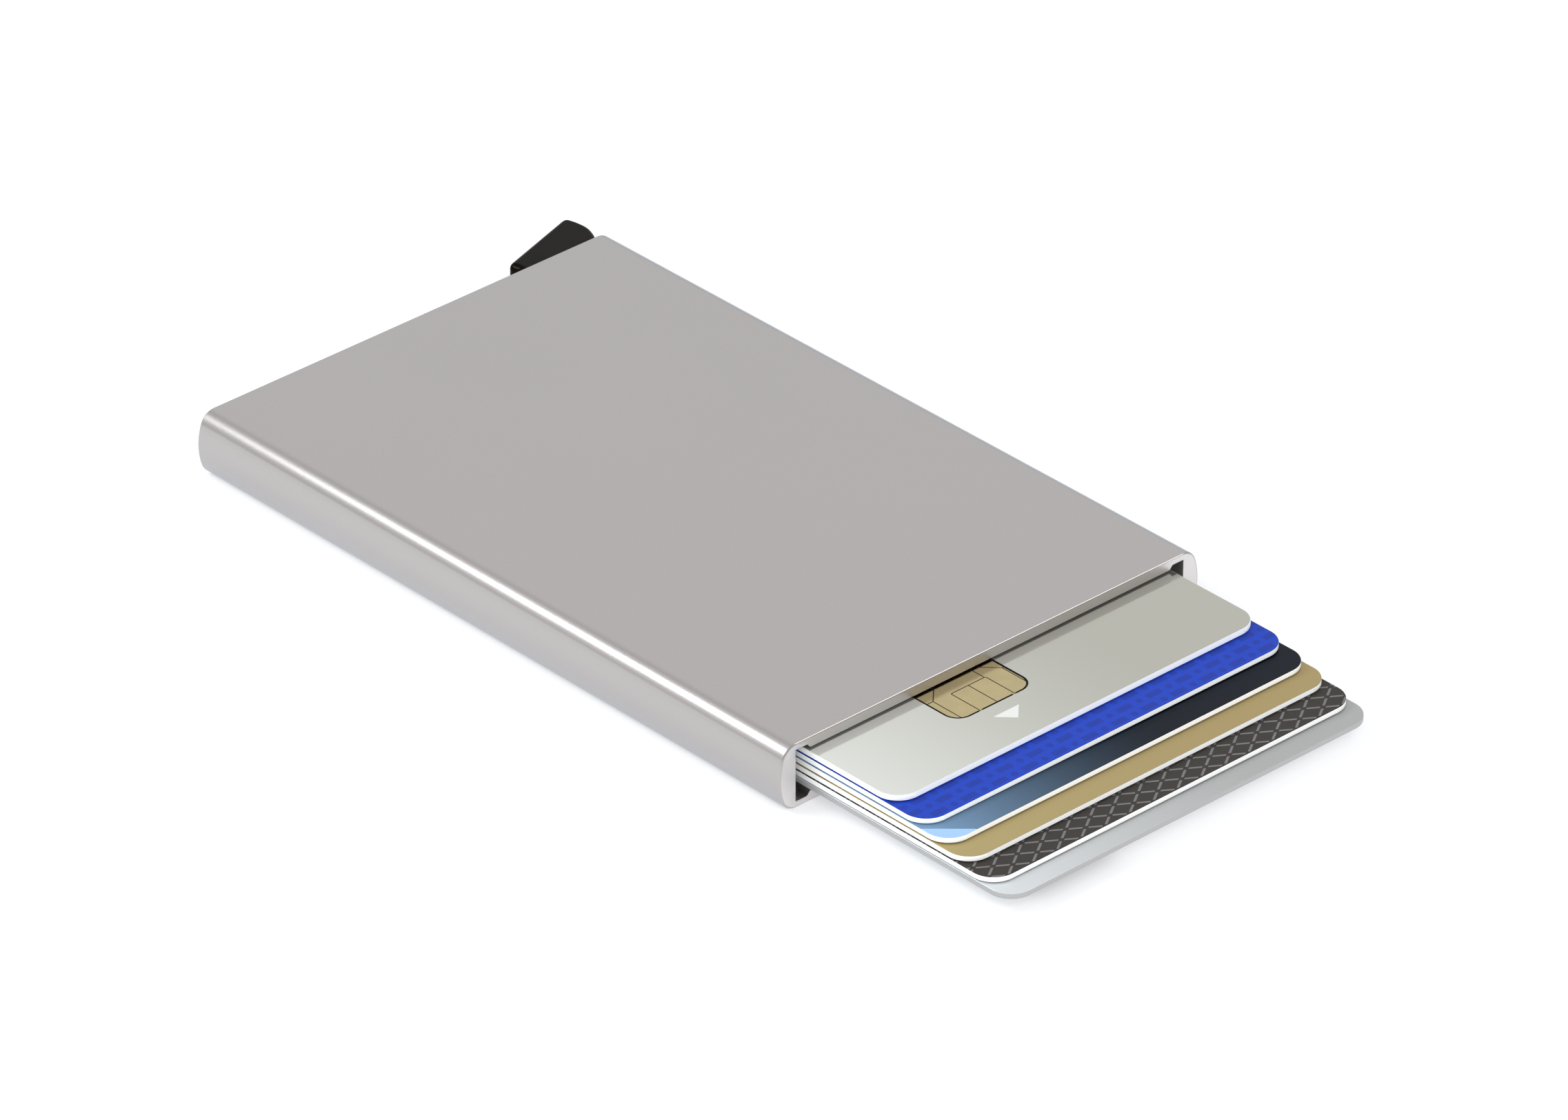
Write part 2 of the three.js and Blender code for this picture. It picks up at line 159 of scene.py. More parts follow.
class Workpiece:
    """One mesh on the bench, shaped with operators until it is handed over."""

    def __init__(self, name: str) -> None:
        """Takes up the primitive that was added last, and puts its place into its mesh.

        Args:
            name: The piece's name.
        """
        self.obj = bpy.context.active_object
        self.obj.name = name
        self.obj.data.name = name
        self.ring: dict[tuple[int, ...], int] = {}
        self.settle()

    @classmethod
    def cube(cls, name: str, middle: Vector, size: Sequence[float], turn: float = 0) -> "Workpiece":
        """Starts a piece from a box.

        Args:
            name: The piece's name.
            middle: The box's middle.
            size: Its length along each of its axes.
            turn: How far it is turned about its own upright axis.

        Returns:
            The piece.
        """
        deselect_all()
        bpy.ops.mesh.primitive_cube_add(size=1, location=middle, rotation=(0, 0, turn), scale=size)
        return cls(name)

    @classmethod
    def block(cls, name: str, low: Vector, high: Vector) -> "Workpiece":
        """Starts a piece from a box between its lowest and its highest corner."""
        return cls.cube(name, (low + high) / 2, high - low)

    @classmethod
    def disc(cls, name: str, foot: Vector, radius: float, height: float, sides: int) -> "Workpiece":
        """Starts a piece from an upright cylinder.

        Args:
            name: The piece's name.
            foot: The middle of its lower end.
            radius: The cylinder's radius.
            height: The cylinder's height.
            sides: How many sides it has.

        Returns:
            The piece.
        """
        deselect_all()
        middle = foot + Vector((0, 0, height / 2))
        bpy.ops.mesh.primitive_cylinder_add(vertices=sides, radius=radius, depth=height, location=middle)
        return cls(name)

    @classmethod
    def outline(cls, name: str, points: Sequence[Vector]) -> "Workpiece":
        """Starts a piece from a circle, drawn out to a closed outline.

        Args:
            name: The piece's name.
            points: The outline's points, in order.

        Returns:
            The piece, a bare ring of edges.
        """
        deselect_all()
        bpy.ops.mesh.primitive_circle_add(vertices=len(points), radius=MM, fill_type="NOTHING")
        piece = cls(name)
        for vertex, point in zip(piece.obj.data.vertices, points):
            vertex.co = point
        piece.ring = numbered(points)
        return piece

    @classmethod
    def copy_of(cls, node: str, name: str) -> "Workpiece":
        """Starts a piece from a merged copy of a node of the frame.

        Args:
            node: The node's name.
            name: The piece's name.

        Returns:
            The piece, with its triangles merged into flat faces.
        """
        source = frame["nodes"][node]
        deselect_all()
        source.select_set(True)
        bpy.context.view_layer.objects.active = source
        bpy.ops.object.duplicate()
        copied = bpy.context.active_object
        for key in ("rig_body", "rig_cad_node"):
            del copied[key]
        copied.parent = None
        copied.data.materials.clear()
        piece = cls(name)
        with piece.edit("VERT"):
            bpy.ops.mesh.select_all(action="SELECT")
            bpy.ops.mesh.remove_doubles(threshold=NODE_MERGE)
            bpy.ops.mesh.dissolve_limited(angle_limit=math.radians(1))
        return piece

    def twin(self, name: str, offset: Vector) -> "Workpiece":
        """Copies the piece, with a mesh of its own, and moves the copy.

        Args:
            name: The copy's name.
            offset: How far the copy is moved.

        Returns:
            The copy.
        """
        self.pick()
        bpy.ops.object.duplicate()
        bpy.context.active_object.location = offset
        return Workpiece(name)

    def pick(self) -> None:
        """Makes the piece the only one that is selected."""
        deselect_all()
        self.obj.select_set(True)
        bpy.context.view_layer.objects.active = self.obj

    def settle(self) -> None:
        """Puts the object's place, turn and scale into its mesh."""
        self.pick()
        bpy.ops.object.transform_apply(location=True, rotation=True, scale=True)

    def apply(self, modifier: bpy.types.Modifier) -> None:
        """Applies a modifier to the mesh."""
        self.pick()
        bpy.ops.object.modifier_apply(modifier=modifier.name)

    @contextmanager
    def edit(self, mode: str) -> Iterator[None]:
        """Opens the piece in edit mode with nothing selected.

        Args:
            mode: What is selected: VERT, EDGE or FACE.

        Returns:
            A context that leaves edit mode at its end.
        """
        self.pick()
        bpy.ops.object.mode_set(mode="EDIT")
        bpy.ops.mesh.select_mode(type=mode)
        bpy.ops.mesh.select_all(action="DESELECT")
        yield
        bpy.ops.object.mode_set(mode="OBJECT")

    def choose(self, test: EdgeTest) -> None:
        """Selects edges in edit mode.

        Args:
            test: Says which edges are selected.
        """
        for edge in bmesh.from_edit_mesh(self.obj.data).edges:
            if test(edge):
                edge.select_set(True)
        bmesh.update_edit_mesh(self.obj.data)

    def in_ring(self, edge: bmesh.types.BMEdge) -> bool:
        """Tells an edge of the newest ring."""
        return all(place_key(vertex.co) in self.ring for vertex in edge.verts)

    def round_edges(self, test: EdgeTest, radius: float, steps: int = 3) -> None:
        """Rounds the edges that pass a test.

        Args:
            test: Says which edges are rounded.
            radius: The rounding's radius.
            steps: How many faces it takes.
        """
        with self.edit("EDGE"):
            self.choose(test)
            bpy.ops.mesh.bevel(offset=radius, segments=steps, affect="EDGES", clamp_overlap=True)

    def grow(self, points: Sequence[Vector]) -> None:
        """Extrudes the newest ring of edges and lays the new ring on other points.

        Args:
            points: Where the new ring's points go, in the order of the last ring.
        """
        with self.edit("EDGE"):
            self.choose(self.in_ring)
            bpy.ops.mesh.extrude_edges_move()
            for vertex in bmesh.from_edit_mesh(self.obj.data).verts:
                if vertex.select:
                    vertex.co = points[self.ring[place_key(vertex.co)]]
            bmesh.update_edit_mesh(self.obj.data)
        self.ring = numbered(points)

    def close_ring(self) -> None:
        """Closes the newest ring of edges with one face."""
        with self.edit("EDGE"):
            self.choose(self.in_ring)
            bpy.ops.mesh.edge_face_add()

    def draw_out(self, offset: Vector) -> None:
        """Extrudes the whole flat piece into a solid.

        Args:
            offset: How far and which way.
        """
        with self.edit("FACE"):
            bpy.ops.mesh.select_all(action="SELECT")
            bpy.ops.mesh.extrude_region_move(TRANSFORM_OT_translate={"value": offset})
        self.turn_out()

    def turn_out(self) -> None:
        """Merges doubled points and turns every face outwards."""
        with self.edit("VERT"):
            bpy.ops.mesh.select_all(action="SELECT")
            bpy.ops.mesh.remove_doubles(threshold=PIECE_MERGE)
            bpy.ops.mesh.normals_make_consistent(inside=False)

    def cut(self, *cutters: "Workpiece", operation: str = "DIFFERENCE") -> None:
        """Cuts other pieces out of this one, or adds them to it, and clears them away.

        Args:
            cutters: The other pieces.
            operation: DIFFERENCE to cut them out, UNION to add them.
        """
        for cutter in cutters:
            modifier = self.obj.modifiers.new("cut", "BOOLEAN")
            modifier.operation = operation
            modifier.solver = "EXACT"
            modifier.object = cutter.obj
            self.apply(modifier)
            bpy.data.objects.remove(cutter.obj)

    def smooth(self, degrees: float = 32) -> None:
        """Shades the piece smooth but for its sharp edges, and keeps its flats flat.

        Args:
            degrees: The angle past which an edge counts as sharp.
        """
        self.pick()
        bpy.ops.object.shade_smooth_by_angle(angle=math.radians(degrees))
        weighted = self.obj.modifiers.new("flats", "WEIGHTED_NORMAL")
        weighted.weight = 100
        weighted.keep_sharp = True
        self.apply(weighted)

    def dress(self, *materials: bpy.types.Material, layer: LayerFinder | None = None) -> None:
        """Gives the piece its materials.

        Args:
            materials: The materials.
            layer: Finds the number of a face's material; without it all faces have the first.
        """
        self.obj.data.materials.clear()
        for material in materials:
            self.obj.data.materials.append(material)
        for face in self.obj.data.polygons:
            face.material_index = layer(face) if layer else 0

    def hand_over(self, body: str, slot: Slot, *nodes: str) -> None:
        """Seats the finished piece on its body in place of nodes of the frame.

        Args:
            body: The body that the piece rides on.
            slot: The record's material slot that its finish belongs to; not used.
            nodes: The nodes that the piece stands for.
        """
        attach(self.obj, body)
        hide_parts(*nodes)
        log.info("%s rides on %s, %d faces", self.obj.name, body, len(self.obj.data.polygons))


# Node trees


class Graph:
    """A node tree being written, with short ways to add nodes and join them."""

    def __init__(self, tree: bpy.types.NodeTree) -> None:
        """Takes up a tree."""
        self.tree = tree

    def add(self, kind: str, inputs: dict | None = None, **settings: object) -> bpy.types.Node:
        """Adds a node.

        Args:
            kind: The node's type, without its leading words.
            inputs: Values or sockets for its inputs, by name or number.
            settings: Values for its own properties.

        Returns:
            The node.
        """
        node = self.tree.nodes.new("ShaderNode" + kind)
        for key, value in settings.items():
            setattr(node, key, value)
        for key, value in (inputs or {}).items():
            self.feed(node.inputs[key], value)
        return node

    def feed(self, socket: Socket, value: object) -> None:
        """Sets a socket to a value, or joins it to another socket.

        Args:
            socket: The input.
            value: A number, a colour, a vector or an output.
        """
        if isinstance(value, bpy.types.NodeSocket):
            self.tree.links.new(value, socket)
        else:
            socket.default_value = value

    def sum(self, operation: str, *values: object) -> Socket:
        """Adds a Math node and returns its result."""
        return self.add("Math", dict(enumerate(values)), operation=operation).outputs[0]

    def mix(self, share: object, first: object, second: object) -> Socket:
        """Mixes two colours.

        Args:
            share: How much of the second there is.
            first: A colour or a colour output.
            second: A colour or a colour output.

        Returns:
            The mixed colour.
        """
        node = self.add("Mix", data_type="RGBA")
        sockets = {socket.identifier: socket for socket in (*node.inputs, *node.outputs)}
        for name, value in (("Factor_Float", share), ("A_Color", first), ("B_Color", second)):
            self.feed(sockets[name], value)
        return sockets["Result_Color"]

    def spread(self, value: object, source: Pair = (0, 1), target: Pair = (0, 1)) -> Socket:
        """Maps the source range onto the target range, clamped, and returns the mapped value."""
        return self.add("MapRange", dict(enumerate((value, *source, *target)))).outputs[0]

    def band(self, value: object, low: float, high: float) -> Socket:
        """Returns a mask that is 1 where the value lies between two others and 0 elsewhere."""
        above, below = self.sum("GREATER_THAN", value, low), self.sum("LESS_THAN", value, high)
        return self.sum("MULTIPLY", above, below)

    def noise(self, place: object, rate: object, detail: float) -> Socket:
        """Adds a noise of so many grains to a millimetre and returns its value, 0.5 on average."""
        inputs = {"Vector": place, "Scale": rate, "Detail": detail}
        return self.add("TexNoise", inputs).outputs["Fac"]


class SharedEffects:
    """Effects that several finishes use, each a group of nodes that is made once."""

    coarser: float = 3.1
    shade_range: Pair = (0.3, 0.7)
    cloud_range: Pair = (0.35, 0.65)
    scratch_range: Pair = (0.66, 0.72)
    scratch_stretch: float = 0.02
    scratch_turn: float = 0.5

    def __init__(self) -> None:
        """Makes the groups."""
        self.grain = self.make_grain()
        self.handling = self.make_handling()

    @staticmethod
    def start(name: str, sizes: dict[str, float], outputs: Sequence[str]) -> tuple[Graph, list, Masks]:
        """Starts a group that reads a place and some numbers and puts out numbers.

        Args:
            name: The group's name.
            sizes: The numbers that it reads, with their usual values.
            outputs: The names of what it puts out.

        Returns:
            The group's graph, the sockets of what it reads, and those of what it puts out.
        """
        group = bpy.data.node_groups.new(name, "ShaderNodeTree")
        group.interface.new_socket("Place", in_out="INPUT", socket_type="NodeSocketVector")
        for title, value in sizes.items():
            socket = group.interface.new_socket(title, in_out="INPUT", socket_type="NodeSocketFloat")
            socket.default_value = value
        for title in outputs:
            group.interface.new_socket(title, in_out="OUTPUT", socket_type="NodeSocketFloat")
        entry = group.nodes.new("NodeGroupInput").outputs
        leave = group.nodes.new("NodeGroupOutput").inputs
        return Graph(group), list(entry)[: len(sizes) + 1], leave

    @classmethod
    def make_grain(cls) -> bpy.types.NodeTree:
        """Makes the fine grain of blasted metal, spark-eroded plastic and laminate.

        Returns:
            A group that gives a Height for a bump and a Shade from 0 to 1.
        """
        graph, entry, leave = cls.start("fine_grain", {"Grain": 0.1, "Softness": 0.5}, ["Height", "Shade"])
        place, grain, softness = entry
        rate = graph.sum("DIVIDE", 1, grain)
        fine = graph.noise(place, rate, 2)
        coarse = graph.noise(place, graph.sum("DIVIDE", rate, cls.coarser), 1)
        fine_part = graph.sum("MULTIPLY", fine, graph.sum("SUBTRACT", 1, softness))
        height = graph.sum("ADD", fine_part, graph.sum("MULTIPLY", coarse, softness))
        graph.feed(leave["Height"], height)
        graph.feed(leave["Shade"], graph.spread(height, cls.shade_range))
        return graph.tree

    @classmethod
    def make_handling(cls) -> bpy.types.NodeTree:
        """Makes the faint clouds and scratches that handling leaves on a surface.

        Returns:
            A group that gives a Cloud from 0 to 1 and a Scratch from 0 to 1.
        """
        graph, entry, leave = cls.start("handling", {"Patch": 14, "Stroke": 0.3}, ["Cloud", "Scratch"])
        place, patch, stroke = entry
        cloud = graph.noise(place, graph.sum("DIVIDE", 1, patch), 4)
        graph.feed(leave["Cloud"], graph.spread(cloud, cls.cloud_range))
        scale, turn = (1, cls.scratch_stretch, 1), (0, 0, cls.scratch_turn)
        drawn = graph.add("Mapping", {"Vector": place, "Scale": scale, "Rotation": turn})
        lines = graph.noise(drawn.outputs[0], graph.sum("DIVIDE", 1, stroke), 3)
        graph.feed(leave["Scratch"], graph.spread(lines, cls.scratch_range))
        return graph.tree


class Surface(Graph):
    """A material being written: its graph, its shader and its coordinates in millimetres."""

    def __init__(self, name: str, origin: Triple = (0, 0, 0)) -> None:
        """Starts a material.

        Args:
            name: The material's name.
            origin: The point in metres that its coordinates count from.
        """
        self.material = bpy.data.materials.new(name)
        self.material.use_nodes = True
        super().__init__(self.material.node_tree)
        shift = tuple(-value / MM for value in origin)
        inputs = {"Vector": self.add("TexCoord").outputs["Object"], "Scale": (1 / MM,) * 3, "Location": shift}
        self.place = self.add("Mapping", inputs).outputs[0]

    def set(self, **values: object) -> None:
        """Sets the shader's inputs, with underscores for the spaces in their names."""
        for key, value in values.items():
            self.feed(self.tree.nodes["Principled BSDF"].inputs[key.replace("_", " ")], value)

    def use(self, group: bpy.types.NodeTree, **sizes: float) -> Masks:
        """Places a shared effect with its own sizes and returns what it puts out, by name."""
        node = self.add("Group", {"Place": self.place, **sizes}, node_tree=group)
        return {socket.name: socket for socket in node.outputs}

    def parts(self) -> tuple[Socket, ...]:
        """Returns the three coordinates one by one: across, along and up."""
        return tuple(self.add("SeparateXYZ", {0: self.place}).outputs)


# Finishes


@dataclass(frozen=True)
class Finish:
    """A finish: two colours, a gloss and a relief, each led by one of its masks."""

    effects: SharedEffects
    name: str
    colour: tuple = (0.5, 0.5, 0.5, 1)
    second: tuple = (0.5, 0.5, 0.5, 1)
    metallic: float = 0.0
    colour_by: str = "Cloud"
    colour_share: float = 1.0
    roughness: Pair = (0.3, 0.3)
    roughness_by: str = "Shade"
    # How much of the relief shows, and its depth in millimetres
    relief: Pair = (0.3, 0.002)
    relief_by: str = "Height"
    gloss: float = 0.5
    tint: tuple = (1, 1, 1, 1)
    sheen: float = 0.0
    # The sizes in millimetres of a grain, of a cloud and of a scratch, and how soft the grain is
    grain: float = 0.05
    patch: float = 14
    stroke: float = 0.3
    softness: float = 0.5
    origin: Triple = (0, 0, 0)

    def masks(self, surface: Surface) -> Masks:
        """Places the shared effects and returns what they put out, by name."""
        grain = surface.use(self.effects.grain, Grain=self.grain, Softness=self.softness)
        return grain | surface.use(self.effects.handling, Patch=self.patch, Stroke=self.stroke)

    def paint(self, surface: Surface, masks: Masks) -> Socket:
        """Mixes the two colours by a mask and returns the colour."""
        share = surface.sum("MULTIPLY", masks[self.colour_by], self.colour_share)
        return surface.mix(share, self.colour, self.second)

    def build(self) -> bpy.types.Material:
        """Writes the material.

        Returns:
            The material.
        """
        surface = Surface(self.name, self.origin)
        masks = self.masks(surface)
        strength, depth = self.relief
        bump = {"Height": masks[self.relief_by], "Strength": strength, "Distance": depth * MM}
        surface.set(
            Base_Color=self.paint(surface, masks),
            Metallic=self.metallic,
            Roughness=surface.spread(masks[self.roughness_by], target=self.roughness),
            Specular_IOR_Level=self.gloss,
            Specular_Tint=self.tint,
            Sheen_Weight=self.sheen,
            Normal=surface.add("Bump", bump).outputs[0],
        )
        return surface.material


@dataclass(frozen=True)
class AnodisedAluminium(Finish):
    """Aluminium that was extruded, bead-blasted and anodised."""

    name: str = "anodised_aluminium"
    colour: tuple = (0.475, 0.449, 0.439, 1)
    second: tuple = (0.507, 0.478, 0.468, 1)
    metallic: float = 1.0
    colour_by: str = "Clouded"
    roughness: Pair = (0.265, 0.335)
    roughness_by: str = "Clouded"
    relief: Pair = (0.2, 0.0012)
    relief_by: str = "Drawn"
    tint: tuple = (0.86, 0.93, 1.0, 1)
    grain: float = 0.07
    softness: float = 0.35
    cloud_share: float = 0.12
    die_line: float = 0.12
    die_stretch: float = 0.004
    die_share: float = 0.25

    def masks(self, surface: Surface) -> Masks:
        """Adds the clouded grain, and the grain over the lines that the die left.

        Args:
            surface: The material being written.

        Returns:
            All masks by name.
        """
        masks = super().masks(surface)
        cloud = surface.sum("MULTIPLY", masks["Cloud"], self.cloud_share)
        clouded = surface.sum("MULTIPLY_ADD", masks["Shade"], 1 - self.cloud_share, cloud)
        stretched = surface.add("Mapping", {"Vector": surface.place, "Scale": (1, self.die_stretch, 1)})
        lines = surface.noise(stretched.outputs[0], 1 / self.die_line, 3)
        drawn = surface.sum("MULTIPLY_ADD", lines, self.die_share, masks["Height"])
        return masks | {"Clouded": clouded, "Drawn": drawn}


@dataclass(frozen=True)
class SawnAluminium(AnodisedAluminium):
    """The same aluminium on its sawn ends, paler and duller."""

    name: str = "sawn_aluminium"
    colour: tuple = (0.75, 0.712, 0.702, 1)
    second: tuple = (0.79, 0.752, 0.742, 1)
    roughness: Pair = (0.415, 0.485)


@dataclass(frozen=True)
class BlackMoulding(Finish):
    """Black plastic with the even grain of a spark-eroded mould."""

    name: str = "black_moulding"
    colour: tuple = (0.0012, 0.0008, 0.0002, 1)
    second: tuple = (0.0035, 0.0028, 0.0018, 1)
    colour_share: float = 0.4
    roughness: Pair = (0.18, 0.30)
    relief: Pair = (0.5, 0.004)
    gloss: float = 0.072
    tint: tuple = (1.0, 0.93, 0.78, 1)
    grain: float = 0.11
    patch: float = 3.0


@dataclass(frozen=True)
class DrawnSteel(Finish):
    """Bright steel wire and rod, with fine drawing lines."""

    name: str = "drawn_steel"
    colour: tuple = (0.62, 0.62, 0.63, 1)
    second: tuple = (0.45, 0.45, 0.46, 1)
    metallic: float = 1.0
    roughness: Pair = (0.24, 0.42)
    roughness_by: str = "Scratch"
    relief: Pair = (0.3, 0.003)
    relief_by: str = "Scratch"
    patch: float = 1.5
    stroke: float = 0.12


@dataclass(frozen=True)
class ShortFelt(Finish):
    """Short black felt that brushes the edges of the cards."""

    name: str = "short_felt"
    colour: tuple = (0.010, 0.010, 0.011, 1)
    second: tuple = (0.034, 0.034, 0.036, 1)
    colour_by: str = "Shade"
    roughness: Pair = (0.95, 0.95)
    relief: Pair = (1.0, 0.08)
    sheen: float = 0.4
    grain: float = 0.14
    softness: float = 0.2


@dataclass(frozen=True)
class GoldContact(Finish):
    """Gold-plated pads, faintly brushed."""

    name: str = "gold_contact"
    colour: tuple = (0.55, 0.455, 0.245, 1)
    second: tuple = (0.505, 0.42, 0.225, 1)
    metallic: float = 1.0
    roughness: Pair = (0.18, 0.3)
    roughness_by: str = "Scratch"
    relief: Pair = (0.3, 0.001)
    patch: float = 2.5
    stroke: float = 0.08
    softness: float = 0.4


@dataclass(frozen=True)
class DarkResin(Finish):
    """The dark resin between the contact pads and in the pocket under them."""

    name: str = "dark_resin"
    colour: tuple = (0.012, 0.010, 0.008, 1)
    second: tuple = (0.012, 0.010, 0.008, 1)
    roughness: Pair = (0.5, 0.7)


@dataclass(frozen=True)
class WhiteCore(Finish):
    """The white core of a card, seen along its edges, between two clear films that are painted darker, which
    also stands in for the shade in the thin gaps between the cards.
    """

    colour: tuple = (0.95, 0.965, 0.955, 1)
    # The films' grey: partly their own colour, partly painted shade of the gaps between the cards
    second: tuple = (0.50, 0.52, 0.54, 1)
    colour_by: str = "FilmAndGapShade"
    colour_share: float = 0.55
    roughness: Pair = (0.36, 0.48)
    relief: Pair = (0.25, 0.003)
    grain: float = 0.06
    softness: float = 0.3
    thickness: float = 0.7 * MM
    film_share: float = 0.11
    film_edge: float = 0.8

    def masks(self, surface: Surface) -> Masks:
        """Adds where the clear films lie, whose darker colour paints the shade in the gaps between the cards.

        Args:
            surface: The material being written.

        Returns:
            All masks by name.
        """
        up = surface.sum("DIVIDE", surface.parts()[2], self.thickness / MM)
        from_middle = surface.sum("ABSOLUTE", surface.sum("SUBTRACT", up, 0.5))
        # The films' bands, painted darker as the shade in the gaps between the cards
        edge = (0.5 - self.film_share, 0.5 - self.film_edge * self.film_share)
        return super().masks(surface) | {"FilmAndGapShade": surface.spread(from_middle, edge)}


@dataclass(frozen=True)
class CardPrint(Finish):
    """A printed and laminated card face of one colour, with painted shade that darkens it towards its right;
    a child class draws a pattern over that shade or in its place.
    """

    roughness: Pair = (0.285, 0.32)
    roughness_by: str = "Cloud"
    relief: Pair = (0.12, 0.004)
    gloss: float = 0.1
    grain: float = 0.5
    softness: float = 0.7
    # Painted shade: where across the card, in millimetres, it starts and ends, and how it eases in
    fade_start: float = -27
    fade_end: float = 12.0
    fade_power: float = 1.5

    def paint(self, surface: Surface, masks: Masks) -> Socket:
        """Draws the face on the card's own coordinates and returns the colour."""
        across, along, _ = surface.parts()
        return self.draw(surface, across, along)

    def draw(self, graph: Graph, across: Socket, along: Socket) -> Socket:
        """Paints shade across the card: its colour on the left darkens to its second colour on the right,
        standing in for light that falls off and for darker reflections there.

        Args:
            graph: The material's graph.
            across: Millimetres from the card's middle, to the right.
            along: Millimetres from the card's front edge.

        Returns:
            The colour.
        """
        # The share of painted shade: none on the left, all of it on the right
        left = graph.sum("SUBTRACT", 1, graph.spread(across, (self.fade_start, self.fade_end)))
        eased = graph.sum("SUBTRACT", 1, graph.sum("POWER", left, self.fade_power))
        return graph.mix(eased, self.colour, self.second)


@dataclass(frozen=True)
class ArrowPrint(CardPrint):
    """A pale face with a small pale arrow that points to the edge that goes in first."""

    roughness: Pair = (0.085, 0.12)
    arrow: tuple = (0.88, 0.90, 0.875, 1)
    arrow_middle: float = -6.1
    arrow_tip: float = 3.4
    arrow_height: float = 1.87

    def draw(self, graph: Graph, across: Socket, along: Socket) -> Socket:
        """Draws the face with its painted shade, and its arrow.

        Args:
            graph: The material's graph.
            across: Millimetres from the card's middle, to the right.
            along: Millimetres from the card's front edge.

        Returns:
            The colour.
        """
        # The face with its painted shade darkening it to the right
        ground = super().draw(graph, across, along)
        above_tip = graph.sum("SUBTRACT", along, self.arrow_tip)
        sideways = graph.sum("ABSOLUTE", graph.sum("SUBTRACT", across, self.arrow_middle))
        inside = graph.sum("LESS_THAN", sideways, above_tip)
        below_base = graph.sum("LESS_THAN", above_tip, self.arrow_height)
        return graph.mix(graph.sum("MULTIPLY", inside, below_base), ground, self.arrow)


@dataclass(frozen=True)
class BlockPrint(CardPrint):
    """A face with staggered rows of blocks and dots in a tone of its own colour."""

    pitch: float = 4.4
    row: float = 1.55
    block: float = 2.1
    block_height: float = 0.9
    dot: float = 0.42

    def draw(self, graph: Graph, across: Socket, along: Socket) -> Socket:
        """Draws the blocks, and the dots between them.

        Args:
            graph: The material's graph.
            across: Millimetres from the card's middle, to the right.
            along: Millimetres from the card's front edge.

        Returns:
            The colour.
        """
        row_number = graph.sum("FLOOR", graph.sum("DIVIDE", along, self.row))
        shift = graph.sum("MULTIPLY", graph.sum("MODULO", row_number, 2), self.pitch / 2)
        places = ((graph.sum("ADD", across, shift), self.pitch), (along, self.row))
        in_cell, in_row = (
            graph.sum("SUBTRACT", graph.sum("WRAP", place, size, 0), size / 2) for place, size in places
        )
        near_column = graph.sum("LESS_THAN", graph.sum("ABSOLUTE", in_cell), self.block / 2)
        near_row = graph.sum("LESS_THAN", graph.sum("ABSOLUTE", in_row), self.block_height / 2)
        beside = graph.sum("SUBTRACT", graph.sum("ABSOLUTE", in_cell), self.pitch / 2)
        squares = graph.sum("ADD", graph.sum("POWER", beside, 2), graph.sum("POWER", in_row, 2))
        dots = graph.sum("LESS_THAN", squares, self.dot**2)
        marks = graph.sum("MAXIMUM", graph.sum("MULTIPLY", near_column, near_row), dots)
        return graph.mix(marks, self.colour, self.second)


@dataclass(frozen=True)
class FadePrint(CardPrint):
    """A face that fades from light to dark, with one light corner."""

    fade_start: float = -26.99
    fade_end: float = 7.5
    fade_power: float = 2.15
    corner: tuple = (0.31, 0.49, 0.73, 1)
    corner_across: float = 4.3
    corner_along: float = 4.0

    def draw(self, graph: Graph, across: Socket, along: Socket) -> Socket:
        """Draws the fade and its corner.

        Args:
            graph: The material's graph.
            across: Millimetres from the card's middle, to the right.
            along: Millimetres from the card's front edge.

        Returns:
            The colour.
        """
        share = graph.spread(across, (self.fade_start, self.fade_end), (1, 0))
        ground = graph.mix(graph.sum("POWER", share, self.fade_power), self.second, self.colour)
        from_left = graph.sum("DIVIDE", graph.sum("SUBTRACT", across, self.fade_start), self.corner_across)
        from_front = graph.sum("DIVIDE", along, self.corner_along)
        inside = graph.sum("LESS_THAN", graph.sum("ADD", from_left, from_front), 1)
        return graph.mix(inside, ground, self.corner)


@dataclass(frozen=True)
class LatticePrint(CardPrint):
    """A dark face with a lattice of short light strokes."""

    cell_across: float = 3.53
    cell_along: float = 2.33
    line: float = 0.27
    line_gap: float = 0.15

    def draw(self, graph: Graph, across: Socket, along: Socket) -> Socket:
        """Draws the two ways of strokes, each with gaps where it meets the other.

        Args:
            graph: The material's graph.
            across: Millimetres from the card's middle, to the right.
            along: Millimetres from the card's front edge.

        Returns:
            The colour.
        """
        right = graph.sum("DIVIDE", across, self.cell_across)
        back = graph.sum("DIVIDE", along, self.cell_along)
        half = self.line / 2 * math.hypot(1 / self.cell_across, 1 / self.cell_along)
        first, second = (
            graph.sum("PINGPONG", graph.sum(way, right, back), 0.5) for way in ("ADD", "SUBTRACT")
        )
        lines = []
        for near, far in ((first, second), (second, first)):
            in_line = graph.sum("LESS_THAN", near, half)
            lines.append(graph.sum("MULTIPLY", in_line, graph.sum("GREATER_THAN", far, self.line_gap)))
        return graph.mix(graph.sum("MAXIMUM", *lines), self.colour, self.second)


